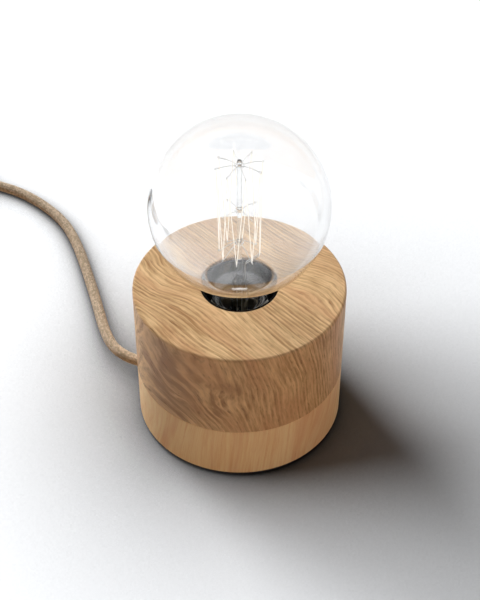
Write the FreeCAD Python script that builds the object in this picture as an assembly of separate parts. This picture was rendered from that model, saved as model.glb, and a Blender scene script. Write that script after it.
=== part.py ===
import FreeCAD, Part
import math
import os

# Table lamp: a round wooden base in two woods, a black lampholder sunk into it, a large clear globe
# bulb with a cage filament, and a braided cord with a rocker switch and a flat two-pin plug.
# Millimetres. +Z is up, and the origin is the centre of the underside, on the surface it stands on.

Vector = FreeCAD.Vector
UP = Vector(0, 0, 1)

# ---- fits ---------------------------------------------------------------------------------------
SLIP = 0.10  # radial clearance of a screw, dowel, tube or wire in its hole
EASY = 0.20  # radial clearance of a larger piece in its seat
SKIN = 0.05  # gap between small pieces that are sealed or soldered together
PINCH = 0.30  # gap left at each side of a piece that is trapped by another
OVERRUN = 1.0  # how far a cutting shape runs past what it cuts
TINY = 1e-3  # for finding edges by their place

# ---- countersunk screws, as shares of the head's or the shank's radius ------------------------------
CROSS_ARM = 1.1
CROSS_WIDTH = 0.5
CROSS_DEPTH = 0.6

# ---- wooden base --------------------------------------------------------------------------------
BASE_R = 58.0
PALE_H = 34.0
OAK_H = 55.5
BORE_R = 21.4
RIM_ROUND = 1.6
BORE_CHAMFER = 0.5
JOINT_CHAMFER = 0.35
FOOT_CHAMFER = 0.8
PAD_T = 2.0
PAD_INSET = 1.5
WEB_T = 10.0
HOLDER_SINK = 6.0
CAVITY_R = 42.0
COVER_LEDGE = 7.8  # the cover's edge past the cavity's
COVER_T = 2.0
DOWEL_R = 3.0
DOWEL_L = 18.0
DOWEL_CIRCLE_R = 50.0
DOWEL_AZIMUTHS = (72.0, 252.0)
OAK_SCREW_R = 2.0
OAK_SCREW_HEAD_R = 4.0
OAK_SCREW_L = 30.0
OAK_SCREW_CIRCLE_R = 33.0
COVER_SCREW_R = 1.5
COVER_SCREW_HEAD_R = 2.9
COVER_SCREW_L = 12.0
COVER_SCREW_INSET = 3.8  # from the cover's edge
SCREW_AZIMUTHS = (102.0, 222.0, 342.0)
PILOT_SPARE = 1.0

# ---- cord entry ---------------------------------------------------------------------------------
CORD_R = 3.25
EXIT_AZIMUTH = 160.5
EXIT_Z = 10.0
GROMMET_WALL = 1.25
GROMMET_LIP_R = 6.2
GROMMET_LIP_T = 1.2
GROMMET_KEEPER_R = 5.6  # of its flange inside the base
INNER_CORD_END = 15.0
CLAMP_FAR, CLAMP_NEAR = 34.0, 23.0
CLAMP_W = 22.0
STRAP_T = 1.8
CLAMP_SCREW_R = 1.4
CLAMP_SCREW_HEAD_R = 2.6
CLAMP_SCREW_L = 22.0
CLAMP_SLOT = 0.6
CORE_R = 1.1
CORE_SPACING = 2.6
CORE_BEND_R = 5.5

# ---- threaded tube under the lampholder -----------------------------------------------------------
NIPPLE_R = 5.0
NIPPLE_BORE_R = 3.9
NUT_FLATS = 14.0
NUT_T = 4.0
WASHER_R = 9.0
WASHER_T = 1.5
NIPPLE_SPARE = 1.0
NIPPLE_CHAMFER = 0.5

# ---- bulb ---------------------------------------------------------------------------------------
GLOBE_R = 47.5
GLOBE_Z = 145.85
BULB_L = 140.0
GLASS_T = 0.8
NECK_R = 16.5
NECK_BLEND_R = 12.0
NECK_FOOT = 6.5  # the neck narrows from this height above the cap
CAP_NECK_R = 10.8
CAP_NECK_L = 16.35  # of the glass inside the cap
CAP_L = 27.0
CAP_R = 12.1
CAP_WALL = 0.4
COLLAR_R = 13.2
COLLAR_L = 3.85
COLLAR_CONE = 1.5
CAP_FOOT = 5.65  # from the contact to the metal shell
CAP_FOOT_R = 9.4
CAP_CURL = 0.5
CAP_CORNER = 0.7
CONTACT_R = 5.0
CONTACT_T = 0.9
CONTACT_CONE = 1.5  # the contact's face is this much smaller than its rim
CONTACT_STUB_R = 1.9
CONTACT_STUB_L = 1.8
INSULATOR_FOOT_R = 6.0
INSULATOR_FLANGE_T = 1.9
INSULATOR_EDGE = 0.4
INSULATOR_INSET = 0.6
CEMENT_L = 9.0

PITCH = 3.629
MALE_CREST_R = 13.1
MALE_START = 8.15  # above the contact
MALE_TURNS = 3.4
FEMALE_ROOT_R = 13.3
FEMALE_CREST_R = 12.35
FEMALE_TURNS = 3.75
RIDGE_ROOT_W = 2.2
RIDGE_CREST_W = 0.7
RIDGE_ROOTED = 0.2  # how deep a ridge's foot is set into its wall

STEM_R = 4.5
STEM_WALL = 0.9
STEM_SHOULDER_DROP = 47.85  # below the globe's centre, as the next two are
STEM_TIP_DROP = 36.85
STEM_TIP_R = 1.9
STEM_HOLLOW_DROP = 57.85
STEM_CONE = 1.0  # height of the hollow's coned end
FLARE_H = 9.0
ROD_R = 1.25
ROD_TOP_RISE = 29.65  # above the globe's centre
BEAD_R = 2.4
BEAD_H = 3.0
BEAD_EDGE = 0.6
CAGE_N = 8
CAGE_AZIMUTH = 14.5
CAGE_TOP_DROP, CAGE_TOP_R = 3.2, 12.0  # below the rod's top
CAGE_FOOT_RISE, CAGE_FOOT_R = 4.9, 10.9  # above the stem's tip
FOOT_BEAD_DROP = 24.25  # below the globe's centre
MIDDLE_DROP, MIDDLE_R = 32.2, 10.2  # below the rod's top
MIDDLE_N = 4
MIDDLE_AZIMUTH = 37.0
HOOK_WIRE_R = 0.2
HOOK_SHORT = 0.7  # a hook's end stops this far inside the strands
HOOK_BOW = 0.6  # how far a hook bows up halfway
FILAMENT_R = 0.3
LEAD_SPREAD = 4.0  # degrees, each side of the gap where the filament begins and ends
LEAD_R = 0.25
LEAD_CIRCLE_R = 3.2
LEAD_FOOT_SPREAD = 16.0  # degrees, each side of the gap where the leads stand in the stem
LEAD_KNEE_DROP = 2.0  # the leads turn outwards this far below the stem's tip
LEAD_BEND = 2.0
LEAD_OUT_X = 1.2
LEAD_OUT_BEND = 0.9

# ---- lampholder -----------------------------------------------------------------------------------
HOLDER_WALL = 1.7
RIM_DROP = 1.0  # the holder's rim below the top of the wood
DOME_H = 24.0
DOME_FLOOR = 3.0
DOME_BOSS_R = 8.5
DOME_BOSS_H = 5.0
DOME_CHAMFER = 1.0
RIM_CHAMFER_OUT = 0.6
RIM_CHAMFER_IN = 0.4
SPIGOT_H = 8.0
SPIGOT_WALL = 2.0
INSERT_R = 16.8
INSERT_FLOOR_T = 5.0
INSERT_FLANGE_T = 2.5
INSERT_FLANGE_R = 18.9
SHOULDER_T = 2.5
SHELL_WALL = 0.5
SHELL_PROUD = 1.0  # of the shell above the insert
RIVET_R = 1.0
RIVET_HEAD_R = 1.8
RIVET_HEAD_T = 0.6
RIVET_OFF = 8.5
RIVET_DEEP = 1.5  # its length in the terminal
TAB_W = 5.0
TAB_END = 6.5  # the shell's tab reaches in to here
LEAF_W = 6.0
LEAF_T = 0.5
LEAF_RISE = 2.65
LEAF_RUN = 3.5
LEAF_FOOT_X = 10.5
LEAF_HEEL_X = 5.5
CONTACT_GAP = 0.2
TERMINAL = (6.0, 5.0, 6.5)
TERMINAL_OFF = 9.5
TERMINAL_SCREW_R = 1.4
TERMINAL_SCREW_HEAD_R = 2.4
TERMINAL_SCREW_HEAD_T = 1.6
CORE_IN_TERMINAL = 3.0

# ---- inline switch --------------------------------------------------------------------------------
SWITCH_L, SWITCH_W, SWITCH_H = 62.0, 27.0, 18.0
SWITCH_SPLIT = 8.0  # height of the joint line, and of the cord
SWITCH_WALL = 2.0
SWITCH_CORNER_R = 9.0
SWITCH_EDGE_R = 2.5
SWITCH_FOOT_CHAMFER = 0.8
ROCKER_L, ROCKER_W = 19.0, 11.0
ROCKER_TAPER = 1.3  # each end leans in by this much up to the top
ROCKER_MIDDLE = 4.9  # top of its middle above the axle
ROCKER_DISH = 1.5  # its ends stand this much above its middle
ROCKER_GAP = 0.4
ROCKER_TILT = 8.0
ROCKER_AXLE_R = 1.2
ROCKER_AXLE_DROP = 5.0  # axle's centre under the switch's top
ROCKER_AXLE_GRIP = 3.0  # length of the axle in each lug
ROCKER_DEPTH = 3.0  # of the rocker under its axle
LUG_WALL = 1.6
BRIDGE = (14.0, 4.0, 0.8)
SWITCH_SCREW_R = 1.3
SWITCH_SCREW_HEAD_R = 2.4
SWITCH_SCREW_L = 12.0
SWITCH_SCREW_AT = 21.0  # from the middle, along the switch
POST_R = 3.2
POST_SET = 0.8  # how far a screw post is set into the side wall
STRIP_L, STRIP_W, STRIP_T = 9.0, 4.0, 0.8
STRIP_OFF = 6.6  # from the middle to each contact's upright
BRIDGE_GAP = 0.25
STUB_L = 9.0
SWITCH_CORE_R = 0.9
SWITCH_CORE_SIDE = 5.5
SWITCH_CORE_BEND = 3.0
SWITCH_CORE_LEAD = 2.0  # straight out of each cord end

# ---- plug -----------------------------------------------------------------------------------------
PLUG_L, PLUG_W, PLUG_H = 36.0, 35.0, 13.7
PLUG_NOSE_W = 26.0
PLUG_WAIST_W = 20.0
PLUG_TOP_CHAMFER = 1.5
PLUG_FOOT_CHAMFER = 0.75
PLUG_WAIST_L = 12.6  # from the cord's end to the narrowest place
PLUG_WAIST_IN = 0.5  # its sides bulge this much past a straight line there
PLUG_GRIP_L = 25.2  # from the cord's end to full width
PLUG_CORNER = 2.0
RELIEF_L = 24.0
RELIEF_END_R = 4.3
RELIEF_R = 5.6
RELIEF_GROOVES = 3
GROOVE_DEPTH = 0.7
GROOVE_FOOT, GROOVE_MOUTH = 1.0, 1.2  # half widths
PIN_R = 2.0
PIN_L = 19.0
PIN_BARE = 9.0
PIN_SPACING = 18.6
PIN_NECK_R = 1.35
SLEEVE_R = 1.75
PIN_ROOT = 12.0
PIN_CHAMFER = 0.6

# ---- cord routes ----------------------------------------------------------------------------------
COIL_MEAN_R = 34.5
COIL_TURN_GAP = 0.6
COIL_LAYER_GAP = 0.55
COIL_TURNS = 3  # in each of its two layers
BEND_SHARE = 0.45  # of the shorter run that a bend takes up
COIL_STEP = 2.0  # between the points that the coil's gap is measured on

# ---- levels and places that follow ------------------------------------------------------------------
PALE_Z = PAD_T
OAK_Z = PALE_Z + PALE_H
TOP_Z = OAK_Z + OAK_H
WEB_TOP = OAK_Z - HOLDER_SINK
WEB_Z = WEB_TOP - WEB_T
COVER_R = CAVITY_R + COVER_LEDGE
COVER_TOP = PALE_Z + COVER_T
CONTACT_Z = GLOBE_Z + GLOBE_R - BULB_L
CAP_TOP = CONTACT_Z + CAP_L
STEM_SHOULDER_Z = GLOBE_Z - STEM_SHOULDER_DROP
STEM_TIP_Z = GLOBE_Z - STEM_TIP_DROP
STEM_HOLLOW_Z = GLOBE_Z - STEM_HOLLOW_DROP
ROD_TOP_Z = GLOBE_Z + ROD_TOP_RISE
CAGE_TOP_Z = ROD_TOP_Z - CAGE_TOP_DROP
CAGE_FOOT_Z = STEM_TIP_Z + CAGE_FOOT_RISE
FOOT_BEAD_Z = GLOBE_Z - FOOT_BEAD_DROP
MIDDLE_Z = ROD_TOP_Z - MIDDLE_DROP
CAP_FOOT_Z = CONTACT_Z + CAP_FOOT
COLLAR_Z = CAP_TOP - COLLAR_L
THREAD_TOP = COLLAR_Z - COLLAR_CONE
CAP_BORE_R = CAP_R - CAP_WALL
HOLDER_R = BORE_R - EASY
HOLDER_Z = WEB_TOP
SPLIT_Z = HOLDER_Z + DOME_H
SPIGOT_R = HOLDER_R - HOLDER_WALL - SLIP
SPIGOT_TOP = SPLIT_Z + SPIGOT_H
FLOOR_TOP = CONTACT_Z - CONTACT_GAP - LEAF_RISE
FLOOR_Z = FLOOR_TOP - INSERT_FLOOR_T
SHELL_R = FEMALE_ROOT_R + SHELL_WALL
RIM_Z = TOP_Z - RIM_DROP
GROMMET_R = CORD_R + SLIP + GROMMET_WALL
GLAND_FACE = BASE_R + GROMMET_LIP_T
NUT_TOP = WEB_Z - WASHER_T
NIPPLE_Z = NUT_TOP - NUT_T - NIPPLE_SPARE
NIPPLE_TOP = HOLDER_Z + DOME_BOSS_H
STRAND_STEP = 360.0 / CAGE_N


# ---- shape helpers ----------------------------------------------------------------------------------
def polar(radius, azimuth, z):
    """Point at a radius and azimuth (degrees) about the lamp's axis."""
    turn = math.radians(azimuth)
    return Vector(radius * math.cos(turn), radius * math.sin(turn), z)


def cylinder(radius, low, high, at=Vector(0, 0, 0)):
    """Upright cylinder between two heights."""
    return Part.makeCylinder(radius, high - low, Vector(at.x, at.y, low))


def rod(radius, start, end):
    """Straight round bar between two points."""
    return Part.makeCylinder(radius, (end - start).Length, start, end - start)


def block(low, high):
    """Box between two opposite corners."""
    size = high - low
    return Part.makeBox(size.x, size.y, size.z, low)


def turned(points):
    """Solid of revolution of a closed polygon of (radius, height) points."""
    corners = [Vector(r, 0, z) for r, z in points]
    return Part.Face(Part.makePolygon(corners + corners[:1])).revolve(Vector(), UP, 360)


def chain(start, pieces):
    """Edges from start through (end,) lines and (middle, end) arcs."""
    edges = []
    for piece in pieces:
        end = piece[-1]
        edge = Part.LineSegment(start, end) if len(piece) == 1 else Part.Arc(start, *piece)
        edges.append(edge.toShape())
        start = end
    return edges


def bent(points, radius=None):
    """Edges of straight runs joined by tangent arcs, the arcs' radii, and the path's length.

    With no radius given, an arc takes up BEND_SHARE of the shorter of its two runs."""
    edges, radii, start = [], [], points[0]
    for before, corner, after in zip(points, points[1:], points[2:]):
        come, go = (corner - before).normalize(), (after - corner).normalize()
        half = come.getAngle(go) / 2
        shorter = min((corner - before).Length, (after - corner).Length)
        bend = radius or BEND_SHARE * shorter / math.tan(half)
        reach = bend * math.tan(half)
        first, last = corner - come * reach, corner + go * reach
        inward = (go - come).normalize()
        middle = corner + inward * (bend / math.cos(half) - bend)
        edges += [Part.LineSegment(start, first).toShape(), Part.Arc(first, middle, last).toShape()]
        radii.append(bend)
        start = last
    edges.append(Part.LineSegment(start, points[-1]).toShape())
    return edges, radii, sum(e.Length for e in edges)


def tube(edges, radius):
    """Round solid along a tangent path."""
    first = edges[0]
    start = first.valueAt(first.FirstParameter)
    along = first.tangentAt(first.FirstParameter)
    circle = Part.Wire(Part.makeCircle(radius, start, along))
    return Part.Wire(edges).makePipeShell([circle], True, False)


def wire(points, radius, bend):
    """Thin round wire through points, with one bend radius."""
    return tube(bent(points, bend)[0], radius)


def group(shapes):
    return Part.makeCompound(list(shapes))


def around(azimuths, make):
    """One shape for each azimuth, made at azimuth 0 and turned about the lamp's axis."""
    shapes = []
    for azimuth in azimuths:
        shape = make()
        shape.rotate(Vector(), UP, azimuth)
        shapes.append(shape)
    return shapes


def countersunk(radius, head_r, length, at):
    """Countersunk screw pointing up, with a cross recess in its head and a coned tip."""
    sink = head_r - radius
    body = turned([
        (0, 0), (head_r, 0), (radius, sink), (radius, length - radius), (0, length)
    ])
    arm, width, deep = head_r * CROSS_ARM, radius * CROSS_WIDTH, sink * CROSS_DEPTH
    for long, short in ((arm, width), (width, arm)):
        body = body.cut(block(Vector(-long / 2, -short / 2, -deep), Vector(long / 2, short / 2, deep)))
    body.translate(at)
    return body


def sunk_hole(radius, head_r, length, at):
    """The hole for a countersunk screw, SLIP larger all round, from its head's face up."""
    wide, narrow = head_r + SLIP, radius + SLIP
    hole = turned([(0, 0), (wide, 0), (narrow, wide - narrow), (narrow, length), (0, length)])
    hole.translate(at)
    return hole


def save(name, shape):
    shape.exportStep("parts/" + name + ".step")
    print(name, len(shape.Solids), "solid(s), volume", round(shape.Volume, 1), "valid", shape.isValid())


# ---- wooden base ------------------------------------------------------------------------------------
def chamfered_disc(low, high, foot, top):
    """Full-width disc with a chamfer at its lower and upper edge."""
    return turned([
        (0, low), (BASE_R - foot, low), (BASE_R, low + foot),
        (BASE_R, high - top), (BASE_R - top, high), (0, high),
    ])


def oak_screw_at(azimuth):
    return polar(OAK_SCREW_CIRCLE_R, azimuth, WEB_Z)


def cover_screw_at(azimuth):
    return polar(COVER_R - COVER_SCREW_INSET, azimuth, PALE_Z)


def dowel(azimuth, radius, spare):
    """A dowel, or the hole for one, half in each wood."""
    half = DOWEL_L / 2 + spare
    return cylinder(radius, OAK_Z - half, OAK_Z + half, polar(DOWEL_CIRCLE_R, azimuth, 0))


def bore_of_cord(radius, near, far):
    """Round bar along the cord's line through the base's wall."""
    return rod(radius, polar(near, EXIT_AZIMUTH, EXIT_Z), polar(far, EXIT_AZIMUTH, EXIT_Z))


def pale_base():
    body = chamfered_disc(PALE_Z, OAK_Z, FOOT_CHAMFER, JOINT_CHAMFER)
    cuts = [
        cylinder(CAVITY_R, PALE_Z, WEB_Z),
        cylinder(COVER_R + EASY, PALE_Z, COVER_TOP),
        cylinder(BORE_R, WEB_TOP, OAK_Z),
        cylinder(NIPPLE_R + EASY, WEB_Z, WEB_TOP),
        bore_of_cord(GROMMET_R + SLIP, CAVITY_R / 2, BASE_R + OVERRUN),
    ]
    for azimuth in SCREW_AZIMUTHS:
        cuts.append(sunk_hole(OAK_SCREW_R, OAK_SCREW_HEAD_R, OAK_SCREW_L, oak_screw_at(azimuth)))
        at = cover_screw_at(azimuth)
        cuts.append(cylinder(COVER_SCREW_R + SLIP, at.z, at.z + COVER_SCREW_L + PILOT_SPARE, at))
    for azimuth in DOWEL_AZIMUTHS:
        cuts.append(dowel(azimuth, DOWEL_R + SLIP, PILOT_SPARE))
    for at in clamp_screw_places():
        cuts.append(cylinder(CLAMP_SCREW_R + SLIP, WEB_Z, at.z + CLAMP_SCREW_L + PILOT_SPARE, at))
    return body.cut(cuts)


def oak_block():
    body = chamfered_disc(OAK_Z, TOP_Z, JOINT_CHAMFER, 0.0)
    rim = [e for e in body.Edges if e.BoundBox.ZMin > TOP_Z - SLIP and e.Length > BASE_R]
    body = body.makeFillet(RIM_ROUND, rim)
    mouth = turned([
        (0, OAK_Z), (BORE_R, OAK_Z), (BORE_R, TOP_Z - BORE_CHAMFER),
        (BORE_R + BORE_CHAMFER, TOP_Z), (0, TOP_Z),
    ])
    cuts = [mouth]
    for azimuth in SCREW_AZIMUTHS:
        at = oak_screw_at(azimuth)
        cuts.append(cylinder(OAK_SCREW_R + SLIP, OAK_Z, at.z + OAK_SCREW_L + PILOT_SPARE, at))
    for azimuth in DOWEL_AZIMUTHS:
        cuts.append(dowel(azimuth, DOWEL_R + SLIP, PILOT_SPARE))
    return body.cut(cuts)


def bottom_cover():
    body = cylinder(COVER_R, PALE_Z, COVER_TOP)
    return body.cut([
        sunk_hole(COVER_SCREW_R, COVER_SCREW_HEAD_R, COVER_SCREW_L, cover_screw_at(azimuth))
        for azimuth in SCREW_AZIMUTHS
    ])


def build_base():
    save("felt_pad", cylinder(BASE_R - PAD_INSET, 0, PAD_T))
    save("pale_base", pale_base())
    save("oak_block", oak_block())
    save("dowels", group(dowel(azimuth, DOWEL_R, 0) for azimuth in DOWEL_AZIMUTHS))
    save("oak_screws", group(
        countersunk(OAK_SCREW_R, OAK_SCREW_HEAD_R, OAK_SCREW_L, oak_screw_at(azimuth))
        for azimuth in SCREW_AZIMUTHS
    ))
    save("bottom_cover", bottom_cover())
    save("cover_screws", group(
        countersunk(COVER_SCREW_R, COVER_SCREW_HEAD_R, COVER_SCREW_L, cover_screw_at(azimuth))
        for azimuth in SCREW_AZIMUTHS
    ))


# ---- cord entry, clamp and inner wiring ---------------------------------------------------------------
def at_exit(shape):
    """Turns a piece made along +X to the cord's azimuth."""
    shape.rotate(Vector(), UP, EXIT_AZIMUTH)
    return shape


def clamp_screw_places():
    """Where the clamp's two screws have their heads, either side of the cord."""
    along = (CLAMP_FAR + CLAMP_NEAR) / 2
    side = (CORD_R + CLAMP_W / 2) / 2
    low = EXIT_Z - CORD_R - STRAP_T
    turn = FreeCAD.Rotation(UP, EXIT_AZIMUTH)
    return [turn.multVec(Vector(along, s * side, low)) for s in (-1, 1)]


def grommet():
    inside = math.sqrt(CAVITY_R**2 - GROMMET_KEEPER_R**2) - SLIP
    body = bore_of_cord(GROMMET_R, inside - GROMMET_LIP_T, GLAND_FACE)
    body = body.fuse([
        bore_of_cord(GROMMET_LIP_R, BASE_R, GLAND_FACE),
        bore_of_cord(GROMMET_KEEPER_R, inside - GROMMET_LIP_T, inside),
    ])
    return body.cut(bore_of_cord(CORD_R + SLIP, CAVITY_R / 2, GLAND_FACE + OVERRUN))


def clamp_half(low, high):
    """One half of the clamp, grooved for the cord and drilled for its screws."""
    body = at_exit(block(Vector(CLAMP_NEAR, -CLAMP_W / 2, low), Vector(CLAMP_FAR, CLAMP_W / 2, high)))
    cuts = [bore_of_cord(CORD_R + SKIN, CLAMP_NEAR - OVERRUN, CLAMP_FAR + OVERRUN)]
    for at in clamp_screw_places():
        cuts.append(cylinder(CLAMP_SCREW_R + SLIP, low, high, at))
    return body.cut(cuts)


def clamp_screw(at):
    """Pan-head screw, its head under the strap."""
    head = cylinder(CLAMP_SCREW_HEAD_R, at.z - CLAMP_SCREW_R / 2, at.z, at)
    low, half = head.BoundBox.ZMin, CLAMP_SLOT / 2
    slot = block(Vector(at.x - CLAMP_SCREW_HEAD_R, at.y - half, low),
                 Vector(at.x + CLAMP_SCREW_HEAD_R, at.y + half, low + half))
    return head.cut(slot).fuse(cylinder(CLAMP_SCREW_R, at.z, at.z + CLAMP_SCREW_L, at))


def core(side):
    """One insulated core: from the cord's end up through the threaded tube to its terminal."""
    turn = FreeCAD.Rotation(UP, EXIT_AZIMUTH)
    offset = side * CORE_SPACING / 2
    terminal_z = FLOOR_Z - TERMINAL[2] / 2
    reach = side * (TERMINAL_OFF - TERMINAL[1] / 2 + CORE_IN_TERMINAL)
    points = [
        Vector(INNER_CORD_END, offset, EXIT_Z),
        Vector(0, offset, EXIT_Z),
        Vector(0, offset, terminal_z),
        Vector(0, reach, terminal_z),
    ]
    bends = (CORE_BEND_R, CORE_SPACING)
    start, pieces = points[0], []
    for i, bend in enumerate(bends, 1):
        come = (points[i] - points[i - 1]).normalize()
        go = (points[i + 1] - points[i]).normalize()
        first, last = points[i] - come * bend, points[i] + go * bend
        centre = first + go * bend
        pieces += [(first,), (centre + (come - go).normalize() * bend, last)]
    pieces.append((points[-1],))
    return tube([turned_edge(e, turn) for e in chain(start, pieces)], CORE_R)


def turned_edge(edge, turn):
    moved = edge.copy()
    moved.Placement = FreeCAD.Placement(Vector(), turn)
    return moved


def build_wiring():
    save("cord_grommet", grommet())
    save("clamp_block", clamp_half(EXIT_Z + PINCH, WEB_Z))
    save("clamp_strap", clamp_half(EXIT_Z - CORD_R - STRAP_T, EXIT_Z - PINCH))
    save("clamp_screws", group(clamp_screw(at) for at in clamp_screw_places()))
    save("inner_cord", bore_of_cord(CORD_R, INNER_CORD_END, GLAND_FACE))
    save("live_core", core(1))
    save("neutral_core", core(-1))


# ---- lampholder ---------------------------------------------------------------------------------------
def hexagon_nut():
    corner_r = NUT_FLATS / math.sqrt(3)
    corners = [polar(corner_r, 60 * i, NUT_TOP - NUT_T) for i in range(7)]
    nut = Part.Face(Part.makePolygon(corners)).extrude(Vector(0, 0, NUT_T))
    return nut.cut(cylinder(NIPPLE_R + SKIN, NUT_TOP - NUT_T, NUT_TOP))


def nipple():
    low, high, slope = NIPPLE_Z, NIPPLE_TOP, NIPPLE_CHAMFER
    return turned([
        (NIPPLE_BORE_R, low), (NIPPLE_R - slope, low), (NIPPLE_R, low + slope),
        (NIPPLE_R, high - slope), (NIPPLE_R - slope, high), (NIPPLE_BORE_R, high),
    ])


def holder_dome():
    hole, floor = NIPPLE_R + SKIN, HOLDER_Z + DOME_FLOOR
    inner = SPIGOT_R - SPIGOT_WALL
    return turned([
        (hole, HOLDER_Z), (HOLDER_R - DOME_CHAMFER, HOLDER_Z), (HOLDER_R, HOLDER_Z + DOME_CHAMFER),
        (HOLDER_R, SPLIT_Z), (SPIGOT_R, SPLIT_Z), (SPIGOT_R, SPIGOT_TOP),
        (inner, SPIGOT_TOP), (inner, floor), (DOME_BOSS_R, floor),
        (DOME_BOSS_R, HOLDER_Z + DOME_BOSS_H), (hole, HOLDER_Z + DOME_BOSS_H),
    ])


def holder_skirt():
    inner = HOLDER_R - HOLDER_WALL
    under = SPIGOT_TOP + INSERT_FLANGE_T + PINCH
    neck = INSERT_R + EASY
    out, into = RIM_CHAMFER_OUT, RIM_CHAMFER_IN
    return turned([
        (inner, SPLIT_Z), (HOLDER_R, SPLIT_Z), (HOLDER_R, RIM_Z - out), (HOLDER_R - out, RIM_Z),
        (inner + into, RIM_Z), (inner, RIM_Z - into), (inner, under + SHOULDER_T),
        (neck, under + SHOULDER_T), (neck, under), (inner, under),
    ])


def holder_insert():
    pocket, lip = SHELL_R + SLIP, THREAD_TOP - SHELL_PROUD
    body = turned([
        (0, FLOOR_Z), (INSERT_R, FLOOR_Z), (INSERT_R, SPIGOT_TOP), (INSERT_FLANGE_R, SPIGOT_TOP),
        (INSERT_FLANGE_R, SPIGOT_TOP + INSERT_FLANGE_T), (INSERT_R, SPIGOT_TOP + INSERT_FLANGE_T),
        (INSERT_R, lip), (pocket, lip), (pocket, FLOOR_TOP), (0, FLOOR_TOP),
    ])
    return at_exit(body.cut([rivet_way(side) for side in (-1, 1)]))


def ridge(root_r, crest_r, low, turns):
    """Right-handed screw ridge between two radii, starting at azimuth 0."""
    helix = Part.makeHelix(PITCH, PITCH * turns, root_r)
    helix.translate(Vector(0, 0, low))
    corners = [
        Vector(root_r, 0, low - RIDGE_ROOT_W / 2), Vector(root_r, 0, low + RIDGE_ROOT_W / 2),
        Vector(crest_r, 0, low + RIDGE_CREST_W / 2), Vector(crest_r, 0, low - RIDGE_CREST_W / 2),
    ]
    profile = Part.makePolygon(corners + corners[:1])
    return Part.Wire(helix.Edges).makePipeShell([profile], True, True)


def screw_shell():
    wall = turned([
        (FEMALE_ROOT_R, FLOOR_TOP), (SHELL_R, FLOOR_TOP), (SHELL_R, THREAD_TOP),
        (FEMALE_ROOT_R, THREAD_TOP),
    ])
    low = CONTACT_Z + MALE_START - PITCH / 2
    shell = wall.fuse(ridge(FEMALE_ROOT_R + RIDGE_ROOTED, FEMALE_CREST_R, low, FEMALE_TURNS))
    tab = block(Vector(-TAB_W / 2, TAB_END, FLOOR_TOP),
                Vector(TAB_W / 2, FEMALE_ROOT_R + RIDGE_ROOTED, FLOOR_TOP + LEAF_T))
    return shell.fuse(at_exit(tab.cut(rivet_way(1))))


def contact_leaf():
    """Spring strip: flat foot on the insert's floor, then up to the middle and over."""
    low, top = FLOOR_TOP, FLOOR_TOP + LEAF_RISE
    outline = [
        (-LEAF_FOOT_X, low), (-LEAF_HEEL_X, low), (-LEAF_RUN / 2, top - LEAF_T),
        (LEAF_RUN / 2, top - LEAF_T), (LEAF_RUN, top - 2 * LEAF_T), (LEAF_RUN + LEAF_T, top - LEAF_T),
        (LEAF_RUN / 2 + LEAF_T / 2, top), (-LEAF_RUN / 2 - LEAF_T / 2, top),
        (-LEAF_HEEL_X - LEAF_T / 2, low + LEAF_T), (-LEAF_FOOT_X, low + LEAF_T),
    ]
    corners = [Vector(x, -LEAF_W / 2, z) for x, z in outline]
    leaf = Part.Face(Part.makePolygon(corners + corners[:1])).extrude(Vector(0, LEAF_W, 0))
    leaf.rotate(Vector(), UP, 90)
    return leaf.cut(rivet_way(-1))


def rivet_way(side):
    """Round hole for a rivet, from the terminal up through what it holds down."""
    at = Vector(0, side * RIVET_OFF, 0)
    return cylinder(RIVET_R + SLIP, FLOOR_Z - RIVET_DEEP - SLIP, FLOOR_TOP + 2 * LEAF_T, at)


def rivet(side):
    """Rivet that joins a terminal, through the insert's floor, to the leaf or the shell's tab."""
    at, under = Vector(0, side * RIVET_OFF, 0), FLOOR_TOP + LEAF_T
    shank = cylinder(RIVET_R, FLOOR_Z - RIVET_DEEP, under, at)
    return shank.fuse(cylinder(RIVET_HEAD_R, under, under + RIVET_HEAD_T, at))


def terminal_screw(side):
    """Slotted screw up into a terminal from below."""
    low = FLOOR_Z - TERMINAL[2]
    at = Vector(0, side * (TERMINAL_OFF + TERMINAL[1] / 4), 0)
    head = cylinder(TERMINAL_SCREW_HEAD_R, low - TERMINAL_SCREW_HEAD_T, low, at)
    return head.fuse(cylinder(TERMINAL_SCREW_R, low, low + CORE_R, at))


def terminal(side):
    long, wide, high = TERMINAL
    low = FLOOR_Z - high
    mid = side * TERMINAL_OFF
    body = block(Vector(-long / 2, mid - wide / 2, low), Vector(long / 2, mid + wide / 2, FLOOR_Z))
    near = side * (TERMINAL_OFF - wide / 2)
    hole = rod(CORE_R + SLIP, Vector(0, near - side, low + high / 2),
               Vector(0, near + side * (CORE_IN_TERMINAL + SLIP), low + high / 2))
    at = Vector(0, side * (TERMINAL_OFF + wide / 4), 0)
    screw = cylinder(TERMINAL_SCREW_R + SLIP, low, low + CORE_R + SLIP, at)
    return body.cut([hole, screw, rivet_way(side)])


def build_holder():
    save("nipple", nipple())
    save("nipple_nut", hexagon_nut())
    save("nipple_washer", turned([
        (NIPPLE_R + EASY, NUT_TOP), (WASHER_R, NUT_TOP), (WASHER_R, WEB_Z), (NIPPLE_R + EASY, WEB_Z)
    ]))
    save("holder_dome", holder_dome())
    save("holder_skirt", holder_skirt())
    save("holder_insert", holder_insert())
    save("screw_shell", screw_shell())
    save("centre_contact", at_exit(contact_leaf()))
    save("contact_rivets", group(at_exit(rivet(side)) for side in (-1, 1)))
    save("terminals", group(at_exit(terminal(side)) for side in (-1, 1)))
    save("terminal_screws", group(at_exit(terminal_screw(side)) for side in (-1, 1)))


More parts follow.
